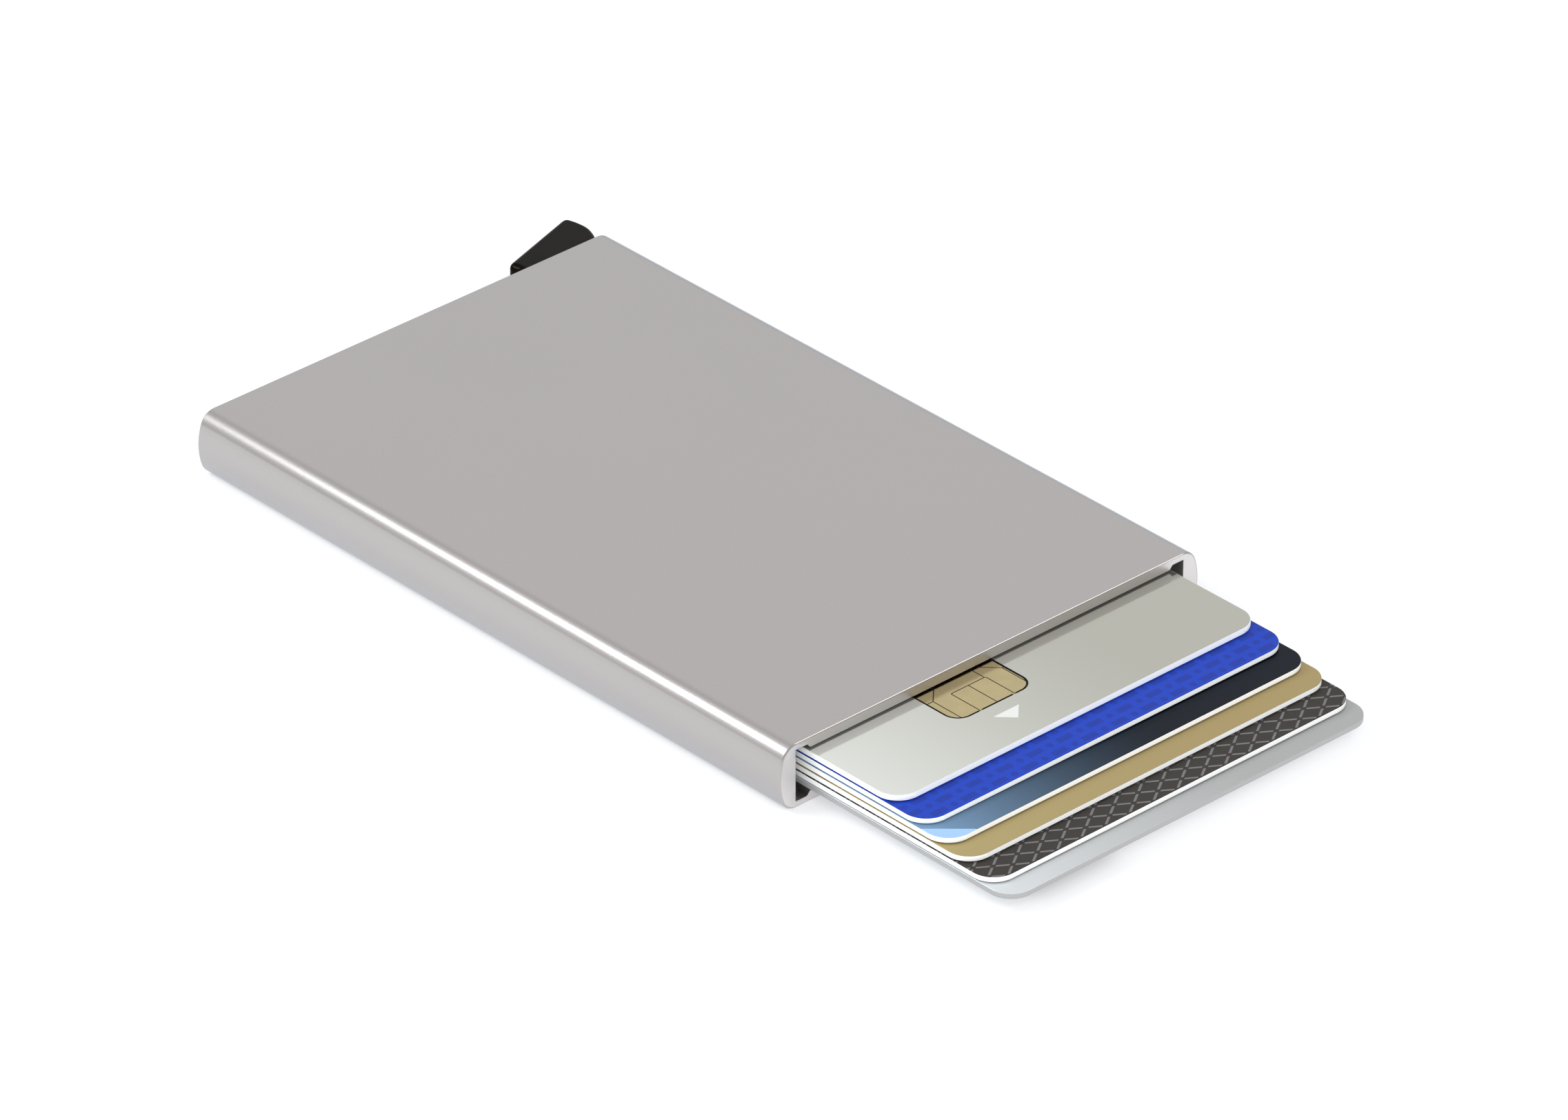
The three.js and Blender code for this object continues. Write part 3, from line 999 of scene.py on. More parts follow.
@dataclass(frozen=True)
class CardBack(Finish):
    """The underside of a card: pale, with a magnetic stripe and a strip to sign on."""

    colour: tuple = (0.58, 0.60, 0.62, 1)
    second: tuple = (0.80, 0.80, 0.77, 1)
    colour_by: str = "Panel"
    roughness: Pair = (0, 1)
    roughness_by: str = "Rough"
    relief: Pair = (0.15, 0.004)
    grain: float = 0.3
    stripe_colour: tuple = (0.018, 0.015, 0.014, 1)
    laminate: Pair = (0.24, 0.3)
    panel_roughness: float = 0.4
    # Where the stripe and the panel lie: from the middle across the card, and from its front edge
    stripe: Pair = (-22.19, -10.69)
    panel_across: Pair = (-7.49, 1.01)
    panel_along: Pair = (8, 62)

    def masks(self, surface: Surface) -> Masks:
        """Adds the stripe, the panel and how rough they are.

        Args:
            surface: The material being written.

        Returns:
            All masks by name.
        """
        masks = super().masks(surface)
        across, along, _ = surface.parts()
        on_panel = surface.band(across, *self.panel_across), surface.band(along, *self.panel_along)
        panel = surface.sum("MULTIPLY", *on_panel)
        smooth = surface.spread(masks["Shade"], target=self.laminate)
        rough = surface.sum("MULTIPLY_ADD", panel, self.panel_roughness, smooth)
        return masks | {"Panel": panel, "Rough": rough, "Stripe": surface.band(across, *self.stripe)}

    def paint(self, surface: Surface, masks: Masks) -> Socket:
        """Lays the stripe over the ground and the panel and returns the colour."""
        return surface.mix(masks["Stripe"], super().paint(surface, masks), self.stripe_colour)


# Sub-assemblies


@dataclass
class Case:
    """The extruded tube of the holder."""

    material: bpy.types.Material
    sawn: bpy.types.Material
    face_wall: float = 1.3 * MM
    groove_wall: float = 0.8 * MM
    side_wall: float = 2.35 * MM
    groove_width: float = 1.65 * MM
    shoulder_run: float = 0.4 * MM
    corner_radius: float = 2.1 * MM
    side_radius: float = 8 * MM
    end_rounding: float = 0.2 * MM
    inner_rounding: float = 0.05 * MM
    shoulder_rounding: float = 0.13 * MM
    shoulder_angle: float = 20
    slack: float = 0.01 * MM
    corner_steps: int = 12
    side_steps: int = 6
    # Where round an outer corner the inner outline starts along the groove, and turns down
    inner_start: float = -0.1
    inner_turn: float = 0.5

    def quarter(self) -> list[tuple[Pair, Pair]]:
        """Works out a quarter of the section, from the top's flat to the middle of a side.

        Returns:
            Matching points of the outer and the inner outline, from the section's middle.
        """
        half, middle = self.width / 2, self.height / 2
        lean = math.asin((middle - self.corner_radius) / (self.side_radius - self.corner_radius))
        side_x = half - self.side_radius
        corner_x = side_x + (self.side_radius - self.corner_radius) * math.cos(lean)
        corner_z = middle - self.corner_radius
        wall_x = half - self.side_wall
        groove_x, groove_z = wall_x - self.groove_width, middle - self.groove_wall
        shoulder_x, face_z = groove_x - self.shoulder_run, middle - self.face_wall
        pairs = [((shoulder_x, middle), (shoulder_x, face_z)), ((groove_x, middle), (groove_x, groove_z))]
        for step in range(self.corner_steps + 1):
            share = step / self.corner_steps
            turn = QUARTER - share * (QUARTER - lean)
            radius = self.corner_radius
            outer = (corner_x + radius * math.cos(turn), corner_z + radius * math.sin(turn))
            if share <= self.inner_turn:
                run = (share - self.inner_start) / (self.inner_turn - self.inner_start)
                inner = (groove_x + run * (wall_x - groove_x), groove_z)
            else:
                drop = (share - self.inner_turn) / (1 - self.inner_turn)
                inner = (wall_x, groove_z - drop * (groove_z - corner_z))
            pairs.append((outer, inner))
        for step in range(1, self.side_steps + 1):
            share = 1 - step / self.side_steps
            radius, turn = self.side_radius, lean * share
            outer = (side_x + radius * math.cos(turn), radius * math.sin(turn))
            pairs.append((outer, (wall_x, corner_z * share)))
        return pairs

    def section(self) -> list[list[Vector]]:
        """Mirrors the quarter into both closed outlines at the mouth.

        Returns:
            The outer and the inner outline.
        """
        top = self.quarter()
        right = top + [tuple((x, -z) for x, z in pair) for pair in reversed(top[:-1])]
        whole = right + [tuple((-x, z) for x, z in pair) for pair in reversed(right)]
        middle = self.low.z + self.height / 2
        return [[Vector((x, self.low.y, z + middle)) for x, z in outline] for outline in zip(*whole)]

    def build(self) -> None:
        """Draws the section along the holder and rounds its edges."""
        self.low, self.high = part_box("case_shell")
        self.width = self.high.x - self.low.x
        self.height = self.high.z - self.low.z
        outer, inner = self.section()
        self.outside = {place_key(point.xz) for point in outer}
        piece = Workpiece.outline("case_tube", outer)
        piece.grow(inner)
        piece.draw_out(Vector((0, self.high.y - self.low.y, 0)))
        piece.round_edges(self.along_shoulder, self.shoulder_rounding)
        piece.round_edges(self.round_outside, self.end_rounding)
        piece.round_edges(self.at_end, self.inner_rounding, 2)
        piece.smooth()
        piece.dress(self.material, self.sawn, layer=self.is_sawn)
        piece.hand_over(Body.CASE.value, Slot.ALUMINIUM, "case_shell")

    def along_shoulder(self, edge: bmesh.types.BMEdge) -> bool:
        """Tells the long edges of the grooves' shoulders.

        Args:
            edge: An edge of the tube.

        Returns:
            Whether it is one.
        """
        first, second = (vertex.co for vertex in edge.verts)
        reach = self.width / 2 - self.side_wall - self.groove_width + self.slack
        long = abs(first.y - second.y) > self.face_wall
        return long and abs(first.x) < reach and bends(edge, self.shoulder_angle)

    def round_outside(self, edge: bmesh.types.BMEdge) -> bool:
        """Tells an end edge of the outer outline."""
        return self.at_end(edge) and all(place_key(vertex.co.xz) in self.outside for vertex in edge.verts)

    @staticmethod
    def at_end(edge: bmesh.types.BMEdge) -> bool:
        """Tells the edges between an end face and the walls."""
        facing = sorted(abs(face.normal.y) for face in edge.link_faces)
        return edge.is_manifold and facing[0] < ALONG and facing[1] > SQUARE

    @staticmethod
    def is_sawn(face: bpy.types.MeshPolygon) -> int:
        """Returns 1 for a face of an end and 0 for any other."""
        return int(abs(face.normal.y) > SQUARE)


@dataclass
class RearPlug:
    """The moulding that closes the rear, with the pin and the fixed leg of the spring."""

    plastic: bpy.types.Material
    steel: bpy.types.Material
    edge_rounding: float = 0.09 * MM
    pin_rounding: float = 0.2 * MM
    free_angle: float = 35
    shortest: float = 0.5 * MM

    def build(self) -> None:
        """Makes the plug, the pin and the leg."""
        plug = Workpiece.copy_of("rear_plug", "closing_plug")
        plug.round_edges(self.is_free_edge, self.edge_rounding, 2)
        plug.smooth()
        plug.dress(self.plastic)
        plug.hand_over(Body.CASE.value, Slot.MOULDING, "rear_plug")

        low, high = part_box("pivot_pin")
        foot = Vector((*((low + high) / 2).xy, low.z))
        pin = Workpiece.disc("lever_pin", foot, (high.x - low.x) / 2, high.z - low.z, sides=48)
        pin.round_edges(is_corner, self.pin_rounding, 4)
        pin.smooth()
        pin.dress(self.steel)
        pin.hand_over(Body.CASE.value, Slot.STEEL, "pivot_pin")

        low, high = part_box("return_spring_fixed_leg")
        radius = (high.z - low.z) / 2
        leg = Workpiece.disc("spring_fixed_leg", Vector(), radius, high.x - low.x, sides=20)
        leg.round_edges(is_corner, radius / 3, 2)
        leg.obj.rotation_euler = Euler((0, QUARTER, 0))
        leg.obj.location = (low.x, *((low + high) / 2).yz)
        leg.settle()
        leg.smooth()
        leg.dress(self.steel)
        leg.hand_over(Body.CASE.value, Slot.STEEL, "return_spring_fixed_leg")

    def is_free_edge(self, edge: bmesh.types.BMEdge) -> bool:
        """Tells the plug's outer edges that are long enough to round."""
        return bends(edge, self.free_angle) and edge.is_convex and edge.calc_length() > self.shortest


@dataclass
class FrictionStrips:
    """The two felt strips in the case's grooves."""

    material: bpy.types.Material
    rounding: float = 0.25 * MM

    def build(self) -> None:
        """Makes the left strip and copies it to the right."""
        nodes = ("left_friction_strip", "right_friction_strip")
        boxes = [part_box(node) for node in nodes]
        left = Workpiece.block("left_felt_strip", *boxes[0])
        left.round_edges(is_corner, self.rounding)
        right = left.twin("right_felt_strip", boxes[1][0] - boxes[0][0])
        for strip, node in zip((left, right), nodes):
            strip.smooth()
            strip.dress(self.material)
            strip.hand_over(Body.CASE.value, Slot.FELT, node)


@dataclass
class Lever:
    """The eject lever, the stepped fingers of its arm and its return spring."""

    plastic: bpy.types.Material
    steel: bpy.types.Material
    hub_radius: float = 3 * MM
    hub_top: float = 5.7 * MM
    hub_clear: float = 3.9 * MM
    arm_lead: float = 4 * MM
    arm_width: float = 3 * MM
    root_reach: float = 6 * MM
    fin_span: float = 8.8 * MM
    fin_reach: float = 12.9 * MM
    corner: float = 1.1 * MM
    most_trim: float = 0.47
    soft_rim: float = 0.5 * MM
    hard_rim: float = 0.35 * MM
    lower_softness: float = 0.4
    soft_reach: int = 7
    rim_steps: int = 7
    corner_steps: int = 7
    bore: float = 1.08 * MM
    pocket: float = 2.4 * MM
    pocket_depth: float = 1.7 * MM
    coil_radius: float = 1.75 * MM
    wire: float = 0.4 * MM
    coil_turns: float = 2.5
    coil_steps: int = 90
    free_leg: float = 5 * MM
    short_leg: float = 1.6 * MM
    slot_gap: float = 0.22 * MM
    slack: float = 0.02 * MM
    tip_rounding: float = 0.12 * MM
    window_start: float = -108
    window_end: float = -20
    window_steps: int = 16
    window_overlap: float = 0.1 * MM
    # The hub from its front round to its back, in shares of the hub's radius: across, along, and
    # the rounding of the corner
    hub_shares: tuple = ((-0.5, -1.333, 0.2), (0.4, -0.917, 0.1), (0.917, -0.4, 0.8), (1, 0.35, 0.3))
    # The fin from the hub round to the root: shares of its span and its reach, the rounding of the
    # corner as a share of the fin's, and how soft the rim above it is
    fin_shares: tuple = (
        (0.545, 0.318, 0.6, 0.5),
        (0.67, 0.419, 0.6, 0.8),
        (0.925, 0.55, 0.8, 1),
        (1.029, 0.72, 1.1, 1),
        (1.01, 0.87, 0.5, 1),
        (0.955, 1.002, 0.9, 0.6),
        (-0.41, 0.706, 0.7, 3),
        (-0.36, 0.58, 0.5, 4),
        (-0.44, 0.33, 0.8, 2),
        (-0.7, 0.14, 0.6, 0),
    )

    def corners(self) -> list[tuple[Vector, float, float]]:
        """Lists the outline's corners about the pivot.

        Returns:
            Each corner's place, rounding and softness of rim.
        """
        hub = [(Vector((x, y)) * self.hub_radius, r * self.hub_radius, 0) for x, y, r in self.hub_shares]
        fin = [
            (Vector((x * self.fin_span, y * self.fin_reach)), r * self.corner, soft)
            for x, y, r, soft in self.fin_shares
        ]
        front, back = -self.arm_lead, self.arm_width - self.arm_lead
        root = [(Vector((-self.root_reach, y)), 0, 0) for y in (front, back)]
        return [root[0], *hub, *fin, root[1]]

    def outline(self) -> list[tuple[Vector, float]]:
        """Rounds the corners and evens out how soft the rim is.

        Returns:
            The outline's points about the pivot, each with the softness of its rim.
        """
        corners = self.corners()
        points = []
        for index, (corner, trim, soft) in enumerate(corners):
            ways = [corners[other % len(corners)][0] - corner for other in (index - 1, index + 1)]
            start, end = (
                corner + way.normalized() * min(trim, self.most_trim * way.length) for way in ways
            )
            shares = [step / self.corner_steps for step in range(self.corner_steps + 1)] if trim else [0]
            for share in shares:
                point = start.lerp(corner, share).lerp(corner.lerp(end, share), share)
                points.append((point, soft))
        near = range(-self.soft_reach, self.soft_reach + 1)
        evened = []
        for index, (point, _) in enumerate(points):
            softness = sum(points[(index + shift) % len(points)][1] for shift in near) / len(near)
            evened.append((point, softness))
        return evened

    def ring_at(self, points: list[tuple[Vector, float]], turn: float, top: bool) -> list[Vector]:
        """Works out one ring of the lever's rim.

        Args:
            points: The outline's points with their softness.
            turn: How far round the rim the ring is, from 0 at the wall to a quarter turn.
            top: Whether it is the upper rim.

        Returns:
            The ring's points in place.
        """
        ring = []
        for index, (point, soft) in enumerate(points):
            share = soft if top else soft * self.lower_softness
            radius = self.hard_rim + share * (self.soft_rim - self.hard_rim)
            ahead = (points[(index + 1) % len(points)][0] - points[index - 1][0]).normalized()
            inward = Vector((-ahead.y, ahead.x)) * radius * (1 - math.cos(turn))
            rise = radius * (1 - math.sin(turn))
            height = self.top - rise if top else self.bottom + rise
            ring.append(Vector((*(self.pivot.xy + point + inward), height)))
        return ring

    def make_fin(self) -> Workpiece:
        """Makes the lever's body, before it is cut for the pin and the spring.

        Returns:
            The body.
        """
        points = self.outline()
        turns = [step / self.rim_steps * QUARTER for step in range(self.rim_steps + 1)]
        rings = [self.ring_at(points, turn, False) for turn in reversed(turns)]
        rings += [self.ring_at(points, turn, True) for turn in turns]
        piece = Workpiece.outline("lever_moulding", rings[0])
        piece.close_ring()
        for ring in rings[1:]:
            piece.grow(ring)
        piece.close_ring()
        piece.turn_out()
        return piece

    def cutters(self) -> list[Workpiece]:
        """Makes what is cut from the lever for the lugs, the pin and the spring.

        Returns:
            The cutters.
        """
        over = self.top + MM
        pocket_floor = self.hub_top - self.pocket_depth
        wells = (
            ("cut_clear", self.hub_clear, self.hub_top, 96),
            ("cut_pocket", self.pocket, pocket_floor, 72),
            ("cut_bore", self.bore, self.bottom - MM, 48),
        )
        discs = [
            Workpiece.disc(name, self.pivot + Vector((0, 0, foot)), radius, over - foot, sides)
            for name, radius, foot, sides in wells
        ]
        half = self.wire / 2 + self.slot_gap
        sill = self.coil_top - self.wire / 2 - half
        low = self.pivot + Vector((-self.free_leg - self.slot_gap, self.coil_radius - half, sill))
        high = self.pivot + Vector((0, self.coil_radius + half, over))
        return [*discs, Workpiece.block("cut_leg_slot", low, high), self.window(pocket_floor, over)]

    def window(self, low: float, high: float) -> Workpiece:
        """Makes the cutter of the window that the spring's fixed leg passes through.

        Args:
            low: The window's sill.
            high: The cutter's top.

        Returns:
            The cutter.
        """
        start, end = math.radians(self.window_start), math.radians(self.window_end)
        steps = self.window_steps
        turns = [start + (end - start) * step / steps for step in range(steps + 1)]
        inner, outer = self.pocket - self.window_overlap, self.hub_clear + MM
        arcs = [(turn, outer) for turn in turns] + [(turn, inner) for turn in reversed(turns)]
        around = [Vector((radius * math.cos(turn), radius * math.sin(turn), low)) for turn, radius in arcs]
        piece = Workpiece.outline("cut_window", [self.pivot + point for point in around])
        piece.close_ring()
        piece.draw_out(Vector((0, 0, high - low)))
        return piece

    def build(self) -> None:
        """Makes the lever, its fingers and its spring."""
        joint = next(joint for joint in frame["joints"] if joint["name"] == "lever_press")
        self.pivot = Vector((*joint["pos_m"][:2], 0))
        low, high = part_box("eject_lever")
        self.bottom, self.top = low.z, high.z
        coil_low, coil_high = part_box("return_spring_coil")
        self.coil_bottom, self.coil_top = coil_low.z, coil_high.z
        lever = self.make_fin()
        lever.cut(*self.cutters())
        lever.smooth(degrees=40)
        lever.dress(self.plastic)
        lever.hand_over(Body.LEVER.value, Slot.MOULDING, "eject_lever")
        self.make_spring()
        for number in range(1, len(Body.CARDS.value) + 1):
            node = f"ejector_finger_{number}"
            self.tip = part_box(node)[0].x
            finger = Workpiece.copy_of(node, f"stepped_finger_{number}")
            finger.round_edges(self.at_tip, self.tip_rounding, 2)
            finger.smooth()
            finger.dress(self.plastic)
            finger.hand_over(Body.LEVER.value, Slot.MOULDING, node)

    def at_tip(self, edge: bmesh.types.BMEdge) -> bool:
        """Tells the upright edges at the tip of the finger being made."""
        return is_upright(edge) and min(vertex.co.x for vertex in edge.verts) < self.tip + self.slack

    def make_spring(self) -> None:
        """Winds the torsion spring and draws out its ends."""
        foot, head = self.coil_bottom + self.wire / 2, self.coil_top - self.wire / 2
        deselect_all()
        bpy.ops.mesh.primitive_circle_add(
            vertices=12,
            radius=self.wire / 2,
            location=(self.coil_radius, 0, foot),
            rotation=(QUARTER, 0, 0),
        )
        spring = Workpiece("return_spring")
        screw = spring.obj.modifiers.new("wind", "SCREW")
        screw.angle = self.coil_turns * 2 * math.pi
        screw.screw_offset = head - foot
        screw.steps = screw.render_steps = self.coil_steps
        spring.apply(screw)
        spring.obj.rotation_euler = Euler((0, 0, -QUARTER))
        spring.obj.location = self.pivot
        spring.settle()
        for self.end_height, reach in ((foot, self.short_leg), (head, -self.free_leg)):
            with spring.edit("EDGE"):
                spring.choose(self.at_wire_end)
                bpy.ops.mesh.extrude_edges_move(TRANSFORM_OT_translate={"value": (reach, 0, 0)})
                bpy.ops.mesh.edge_face_add()
        spring.turn_out()
        spring.smooth(degrees=60)
        spring.dress(self.steel)
        spring.hand_over(Body.LEVER.value, Slot.STEEL, "return_spring_coil")

    def at_wire_end(self, edge: bmesh.types.BMEdge) -> bool:
        """Tells the open edges of the wire's end that is being drawn out.

        Args:
            edge: An edge of the spring.

        Returns:
            Whether it is one.
        """
        middle = (edge.verts[0].co + edge.verts[1].co) / 2
        level = abs(middle.z - self.end_height) < self.wire
        return level and abs(middle.x - self.pivot.x) < self.slack and edge.is_boundary


@dataclass
class Cards:
    """The six cards and the contact plate of the top one."""

    effects: SharedEffects
    gold: bpy.types.Material
    resin: bpy.types.Material
    corner_radius: float = 2.88 * MM
    corner_steps: int = 12
    edge_rounding: float = 0.07 * MM
    # The least that a face points up or down to be printed: near 1 leaves out the rounded rim
    top_slope: float = 0.98
    lower_slope: float = 0.3
    back_slope: float = 0.98
    print_reach: float = 0.08 * MM
    pocket_depth: float = 0.2 * MM
    pocket_gap: float = 0.25 * MM
    pocket_inset: float = 3 * MM
    pocket_low: float = 0.1 * MM
    pocket_high: float = 0.01 * MM
    # How far the contact plate lies within its node, on the left and front, and on the right and rear
    contact_inset: tuple = ((0.1 * MM, 0.1 * MM), (0.65 * MM, 0.1 * MM))
    # The gold ties across the gap at the plate's front: where across the plate, and how wide
    ties: tuple = (-2.5 * MM, 2.45 * MM)
    tie_width: float = 0.36 * MM
    tie_overlap: float = 0.1 * MM
    contact_corner: float = 1.75 * MM
    contact_rim: float = 0.025 * MM
    groove: float = 0.12 * MM
    groove_depth: float = 0.05 * MM
    pad_share: float = 0.2
    silver_core: tuple = (0.36, 0.363, 0.365, 1)
    # The faces from the top card down: how it is drawn, its name, its slot, its two colours, and how
    # metallic it is. On the pale, gold and silver faces the second colour is painted shade towards the right.
    faces: tuple = (
        (ArrowPrint, "pale_face", Slot.PALE_CARD, (0.745, 0.765, 0.72, 1), (0.475, 0.475, 0.422, 1), 0.85),
        (BlockPrint, "blue_face", Slot.BLUE_CARD, (0.0098, 0.045, 0.405, 1), (0.0098, 0.035, 0.30, 1)),
        (FadePrint, "navy_face", Slot.NAVY_CARD, (0.150, 0.258, 0.40, 1), (0.0010, 0.0038, 0.0100, 1)),
        (CardPrint, "gold_face", Slot.GOLD_CARD, (0.385, 0.305, 0.137, 1), (0.345, 0.267, 0.12, 1), 0.3),
        (LatticePrint, "lattice_face", Slot.BROWN_CARD, (0.035, 0.031, 0.027, 1), (0.15, 0.143, 0.147, 1)),
        (CardPrint, "silver_face", Slot.SILVER_CARD, (0.595, 0.62, 0.635, 1), (0.36, 0.363, 0.363, 1), 0.3),
    )
    # Grooves between the contact pads, in millimetres from the plate's middle, and to its front
    grooves: tuple = (
        ((-5.04, -6.6), (-5.04, -1.82)),
        ((5.1, -6.6), (5.1, -1.82)),
        ((-6, -1.82), (-5.04, -1.82)),
        ((5.1, -1.82), (6, -1.82)),
        ((-5.04, -1.82), (-3.22, 0)),
        ((5.1, -1.82), (3.28, 0)),
        ((-2.57, -6.6), (-2.57, -2.1)),
        ((-2.57, -2.1), (-2.4, -1.98)),
        ((-2.4, -1.98), (2.35, -1.98)),
        ((2.35, -1.98), (2.52, -2.15)),
        ((2.52, -2.15), (2.52, -6.6)),
        ((-0.02, -6.6), (-0.02, -1.98)),
        ((2.35, -1.98), (2.35, 0)),
    )

    def build(self) -> None:
        """Makes the top card, copies it downwards, and makes the contact plate."""
        nodes = [f"card_{number}" for number in range(1, len(self.faces) + 1)]
        boxes = [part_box(node) for node in nodes]
        low, high = boxes[0]
        top = self.rounded_slab("printed_card_1", low, high, self.corner_radius, self.edge_rounding)
        cards = [top]
        for node, (other_low, _) in zip(nodes[1:], boxes[1:]):
            cards.append(top.twin(f"printed_{node}", other_low - low))
        top.cut(self.make_pocket(high.z))
        for index, card in enumerate(cards):
            self.low, self.high = boxes[index]
            self.face_slope = self.lower_slope if index else self.top_slope
            card.smooth(degrees=50)
            card.dress(*self.materials(index), layer=self.layer)
            card.hand_over(Body.CARDS.value[index], self.faces[index][2], nodes[index])
        self.make_contact_plate()

    def materials(self, index: int) -> list[bpy.types.Material]:
        """Writes the materials of a card.

        Args:
            index: The card's place, 0 for the top one.

        Returns:
            Those of its core, its face, its back and its pocket.
        """
        kind, name, slot, *colours = self.faces[index]
        front = (0, self.low.y, 0)
        core = {"thickness": self.high.z - self.low.z, "origin": (0, 0, self.low.z)}
        if slot is Slot.SILVER_CARD:
            core |= {"colour": self.silver_core, "second": self.silver_core}
        return [
            WhiteCore(self.effects, f"white_core_{index + 1}", **core).build(),
            kind(self.effects, name, *colours, origin=front).build(),
            CardBack(self.effects, f"card_back_{index + 1}", origin=front).build(),
            self.resin,
        ]

    def layer(self, face: bpy.types.MeshPolygon) -> int:
        """Finds what a face of the card being dressed belongs to.

        Args:
            face: The face.

        Returns:
            0 for the core, 1 for the print, 2 for the back and 3 for the pocket.
        """
        place, up, low, high = face.center, face.normal.z, self.low, self.high
        inset = self.pocket_inset
        across = low.x + inset < place.x < high.x - inset
        along = low.y + inset < place.y < high.y - inset
        if across and along and low.z + self.pocket_low < place.z < high.z - self.pocket_high:
            return 3
        if up < -self.back_slope and abs(place.z - low.z) < self.print_reach:
            return 2
        return int(up > self.face_slope and abs(place.z - high.z) < self.print_reach)

    def rounded_slab(self, name: str, low: Vector, high: Vector, corner: float, rim: float) -> Workpiece:
        """Makes a flat slab with round corners and softened edges.

        Args:
            name: The piece's name.
            low: Its lowest corner.
            high: Its highest corner.
            corner: The radius of its four corners.
            rim: The rounding of its upper and lower edges, or zero for none.

        Returns:
            The slab.
        """
        slab = Workpiece.block(name, low, high)
        slab.round_edges(is_upright, corner, self.corner_steps)
        if rim:
            slab.round_edges(is_corner, rim, 2)
        return slab

    def contact_box(self) -> tuple[Vector, Vector]:
        """Works out where the contact plate lies.

        Returns:
            Its lowest and its highest corner.
        """
        low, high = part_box("contact_plate")
        front, rear = (Vector((*inset, 0)) for inset in self.contact_inset)
        return low + front, high - rear

    def make_pocket(self, top: float) -> Workpiece:
        """Makes the cutter of the pocket that the contact plate lies in.

        Args:
            top: The height of the card's face.

        Returns:
            The cutter.
        """
        gap = Vector((self.pocket_gap, self.pocket_gap, 0))
        low, high = self.contact_box()
        low, high = low - gap, high + gap
        low.z, high.z = top - self.pocket_depth, top + MM
        return self.rounded_slab("cut_pocket", low, high, self.contact_corner + self.pocket_gap, 0)

    def make_contact_plate(self) -> None:
        """Makes the contact plate and cuts the grooves between its pads."""
        low, high = self.contact_box()
        plate = self.rounded_slab("contact_pads", low, high, self.contact_corner, self.contact_rim)
        middle = sum(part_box("contact_plate"), Vector()) / 2
        for place in self.ties:
            left_x = middle.x + place - self.tie_width / 2
            left = Vector((left_x, low.y - self.pocket_gap, high.z - self.groove_depth))
            right = Vector((left.x + self.tie_width, low.y + self.tie_overlap, high.z))
            plate.cut(Workpiece.block("tie", left, right), operation="UNION")
        both = [self.grooves, tuple(tuple((x, -y) for x, y in line) for line in self.grooves)]
        for line in {line for lines in both for line in lines}:
            start, end = (Vector((middle.x + x * MM, middle.y + y * MM, high.z)) for x, y in line)
            run = end - start
            size = (run.length + self.groove, self.groove, 2 * self.groove_depth)
            turn = math.atan2(run.y, run.x)
            plate.cut(Workpiece.cube("cut_groove", (start + end) / 2, size, turn))
        self.pad_floor = high.z - self.pad_share * self.groove_depth
        plate.smooth(degrees=40)
        plate.dress(self.gold, self.resin, layer=self.is_between_pads)
        plate.hand_over(Body.CARDS.value[0], Slot.CONTACT, "contact_plate")

    def is_between_pads(self, face: bpy.types.MeshPolygon) -> int:
        """Returns 1 for a face of the plate below its pads and 0 for one of a pad."""
        return int(face.center.z < self.pad_floor)


# The studio


@dataclass(frozen=True)
class Lamp:
    """A soft rectangular light that faces the holder."""

    name: str
    place: Triple
    width: float
    height: float
    power: float
    upwards: Triple = (0, 0, 1)
    colour: Triple = (1, 1, 1)
    mirrored: bool = True

    def build(self) -> None:
        """Adds the light, its height along the way that it is given, seen in mirrors or not."""
        data = bpy.data.lights.new(self.name, "AREA")
        data.shape = "RECTANGLE"
        data.size, data.size_y, data.energy = self.width, self.height, self.power
        data.color = self.colour
        light = bpy.data.objects.new(self.name, data)
        away = Vector(self.place).normalized()
        sideways = Vector(self.upwards).cross(away).normalized()
        axes = Matrix((sideways, away.cross(sideways), away)).transposed()
        light.matrix_world = Matrix.Translation(self.place) @ axes.to_4x4()
        light.visible_glossy = self.mirrored
        bpy.context.scene.collection.objects.link(light)


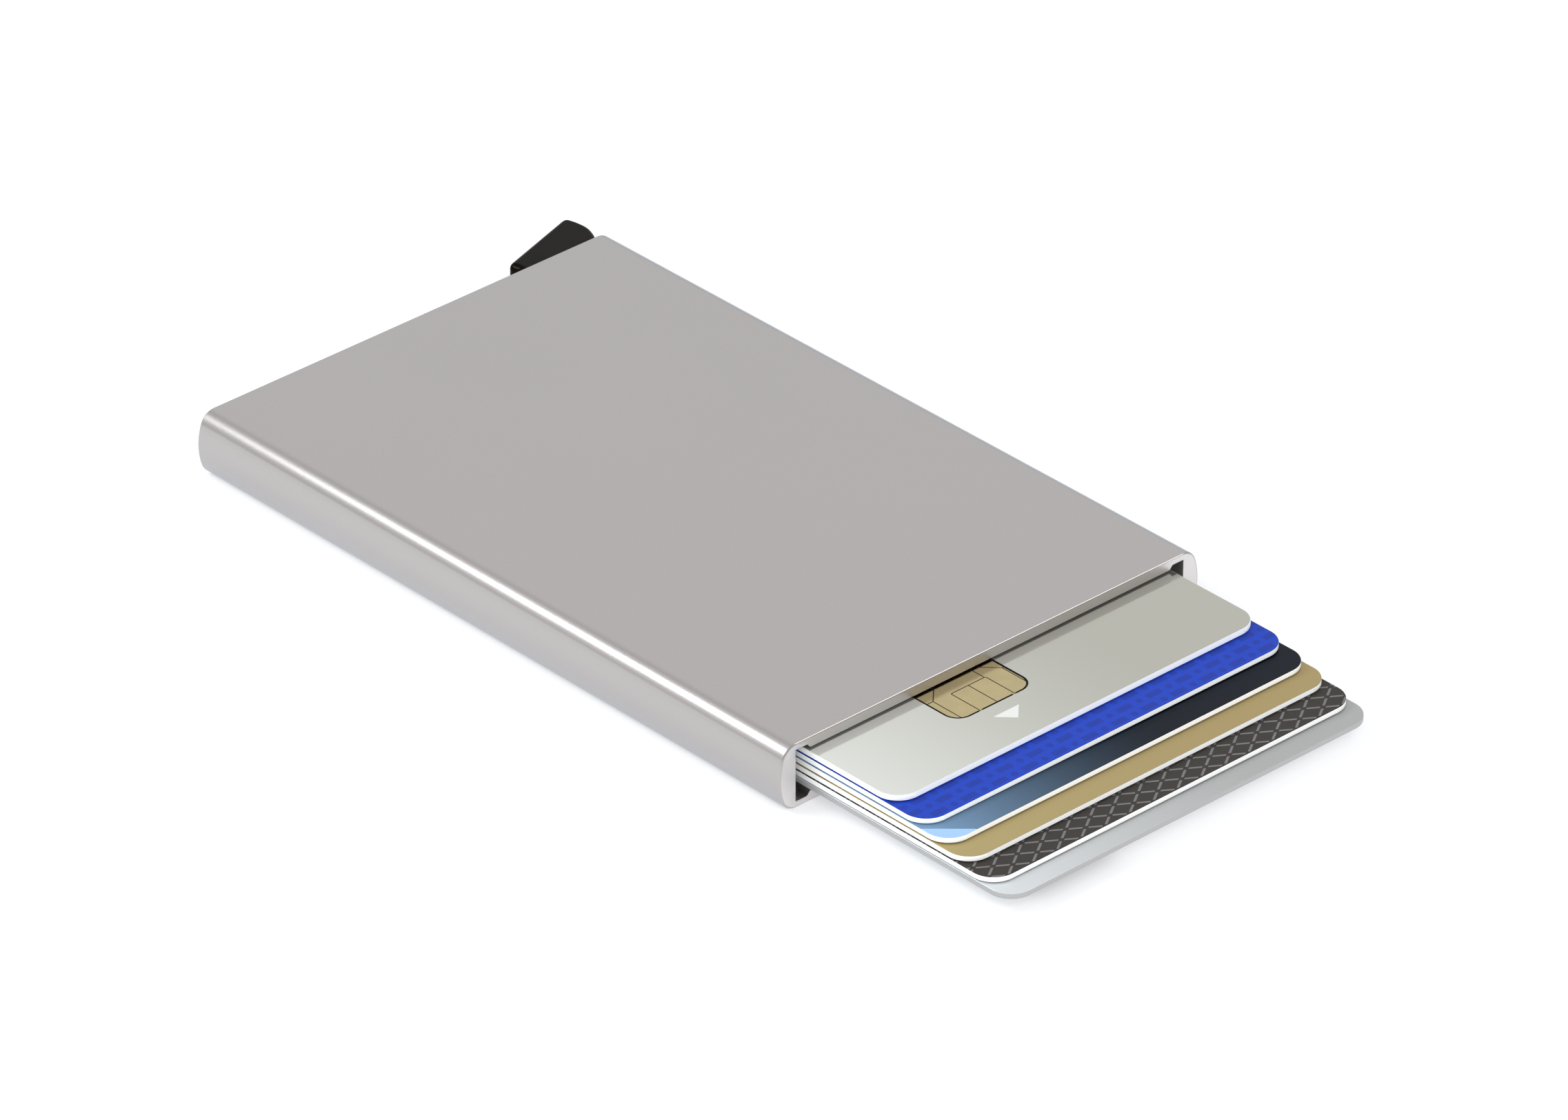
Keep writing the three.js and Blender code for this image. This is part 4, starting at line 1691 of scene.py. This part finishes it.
@dataclass
class Studio:
    """The pale floor, the soft lights and the camera."""

    camera_place: Triple = (-0.68442, -0.75762, 0.61481)
    camera_forward: Triple = (0.57990083, 0.62937794, -0.51729918)
    camera_right: Triple = (0.73542246, -0.67760889, 0.0)
    camera_pixels: float = 15676.2
    sensor: float = 36.0
    world: float = 0.65
    floor_size: float = 4
    floor_drop: float = 0.02 * MM
    floor_colour: tuple = (0.52, 0.528, 0.538, 1)
    floor_glow: tuple = (0.985, 0.992, 1, 1)
    floor_power: float = 0.44
    # The way that the lights over the rear left lean
    rear_lean: Triple = (0.418, 0.776, -0.469)

    def build(self) -> None:
        """Sets up the camera, the floor, the world and the lights."""
        self.make_camera()
        self.make_floor()
        self.make_world()
        front, lean = (-0.44, -0.79, 0.62), self.rear_lean
        for lamp in (
            Lamp("front_softbox", front, 0.8, 0.8, 7.7, mirrored=False),
            Lamp("front_glow", front, 0.8, 0.8, 0.4),
            Lamp("rear_left_strip", (-0.286, 0.205, 0.336), 0.18, 0.2, 0.86, lean, (0.9, 0.95, 1)),
            Lamp("rear_left_fill", (-0.43, 0.31, 0.505), 1.0, 0.5, 0.55, lean),
            Lamp("rear_right_panel", (0.64, 0.69, 0.57), 1.0, 0.8, 0.72),
            Lamp("overhead_lamp", (0.60, -0.22, 0.88), 0.4, 0.4, 1.2),
        ):
            lamp.build()
        bpy.context.scene.view_settings.view_transform = "Standard"

    def make_camera(self) -> None:
        """Places the camera at the photograph's viewpoint."""
        data = bpy.data.cameras.new("camera")
        data.sensor_width = self.sensor
        data.lens = self.sensor * self.camera_pixels / PICTURE_WIDTH
        camera = bpy.data.objects.new("camera", data)
        bpy.context.scene.collection.objects.link(camera)
        forward, right = Vector(self.camera_forward), Vector(self.camera_right)
        axes = Matrix((right, right.cross(forward), -forward)).transposed()
        camera.matrix_world = Matrix.Translation(self.camera_place) @ axes.to_4x4()
        bpy.context.scene.camera = camera

    def make_floor(self) -> None:
        """Lays a wide pale floor just under the holder."""
        deselect_all()
        bpy.ops.mesh.primitive_plane_add(size=self.floor_size, location=(0, 0, -self.floor_drop))
        floor = Workpiece("floor")
        surface = Surface("pale_floor")
        surface.set(Base_Color=self.floor_colour, Roughness=0.9, Specular_IOR_Level=0.1)
        surface.set(Emission_Color=self.floor_glow, Emission_Strength=self.floor_power)
        floor.dress(surface.material)

    def make_world(self) -> None:
        """Lights the scene evenly from all sides."""
        world = bpy.data.worlds.new("studio")
        bpy.context.scene.world = world
        world.use_nodes = True
        world.node_tree.nodes["Background"].inputs["Color"].default_value = (1, 1, 1, 1)
        world.node_tree.nodes["Background"].inputs["Strength"].default_value = self.world


def main() -> None:
    """Builds the studio and the holder, piece by piece."""
    logging.basicConfig(level=logging.INFO, format="%(message)s")
    Studio().build()
    effects = SharedEffects()
    kinds = (AnodisedAluminium, SawnAluminium, BlackMoulding, DrawnSteel, ShortFelt, GoldContact, DarkResin)
    aluminium, sawn, plastic, steel, felt, gold, resin = (kind(effects).build() for kind in kinds)
    Case(aluminium, sawn).build()
    RearPlug(plastic, steel).build()
    FrictionStrips(felt).build()
    Lever(plastic, steel).build()
    Cards(effects, gold, resin).build()


if __name__ == "__main__":
    main()
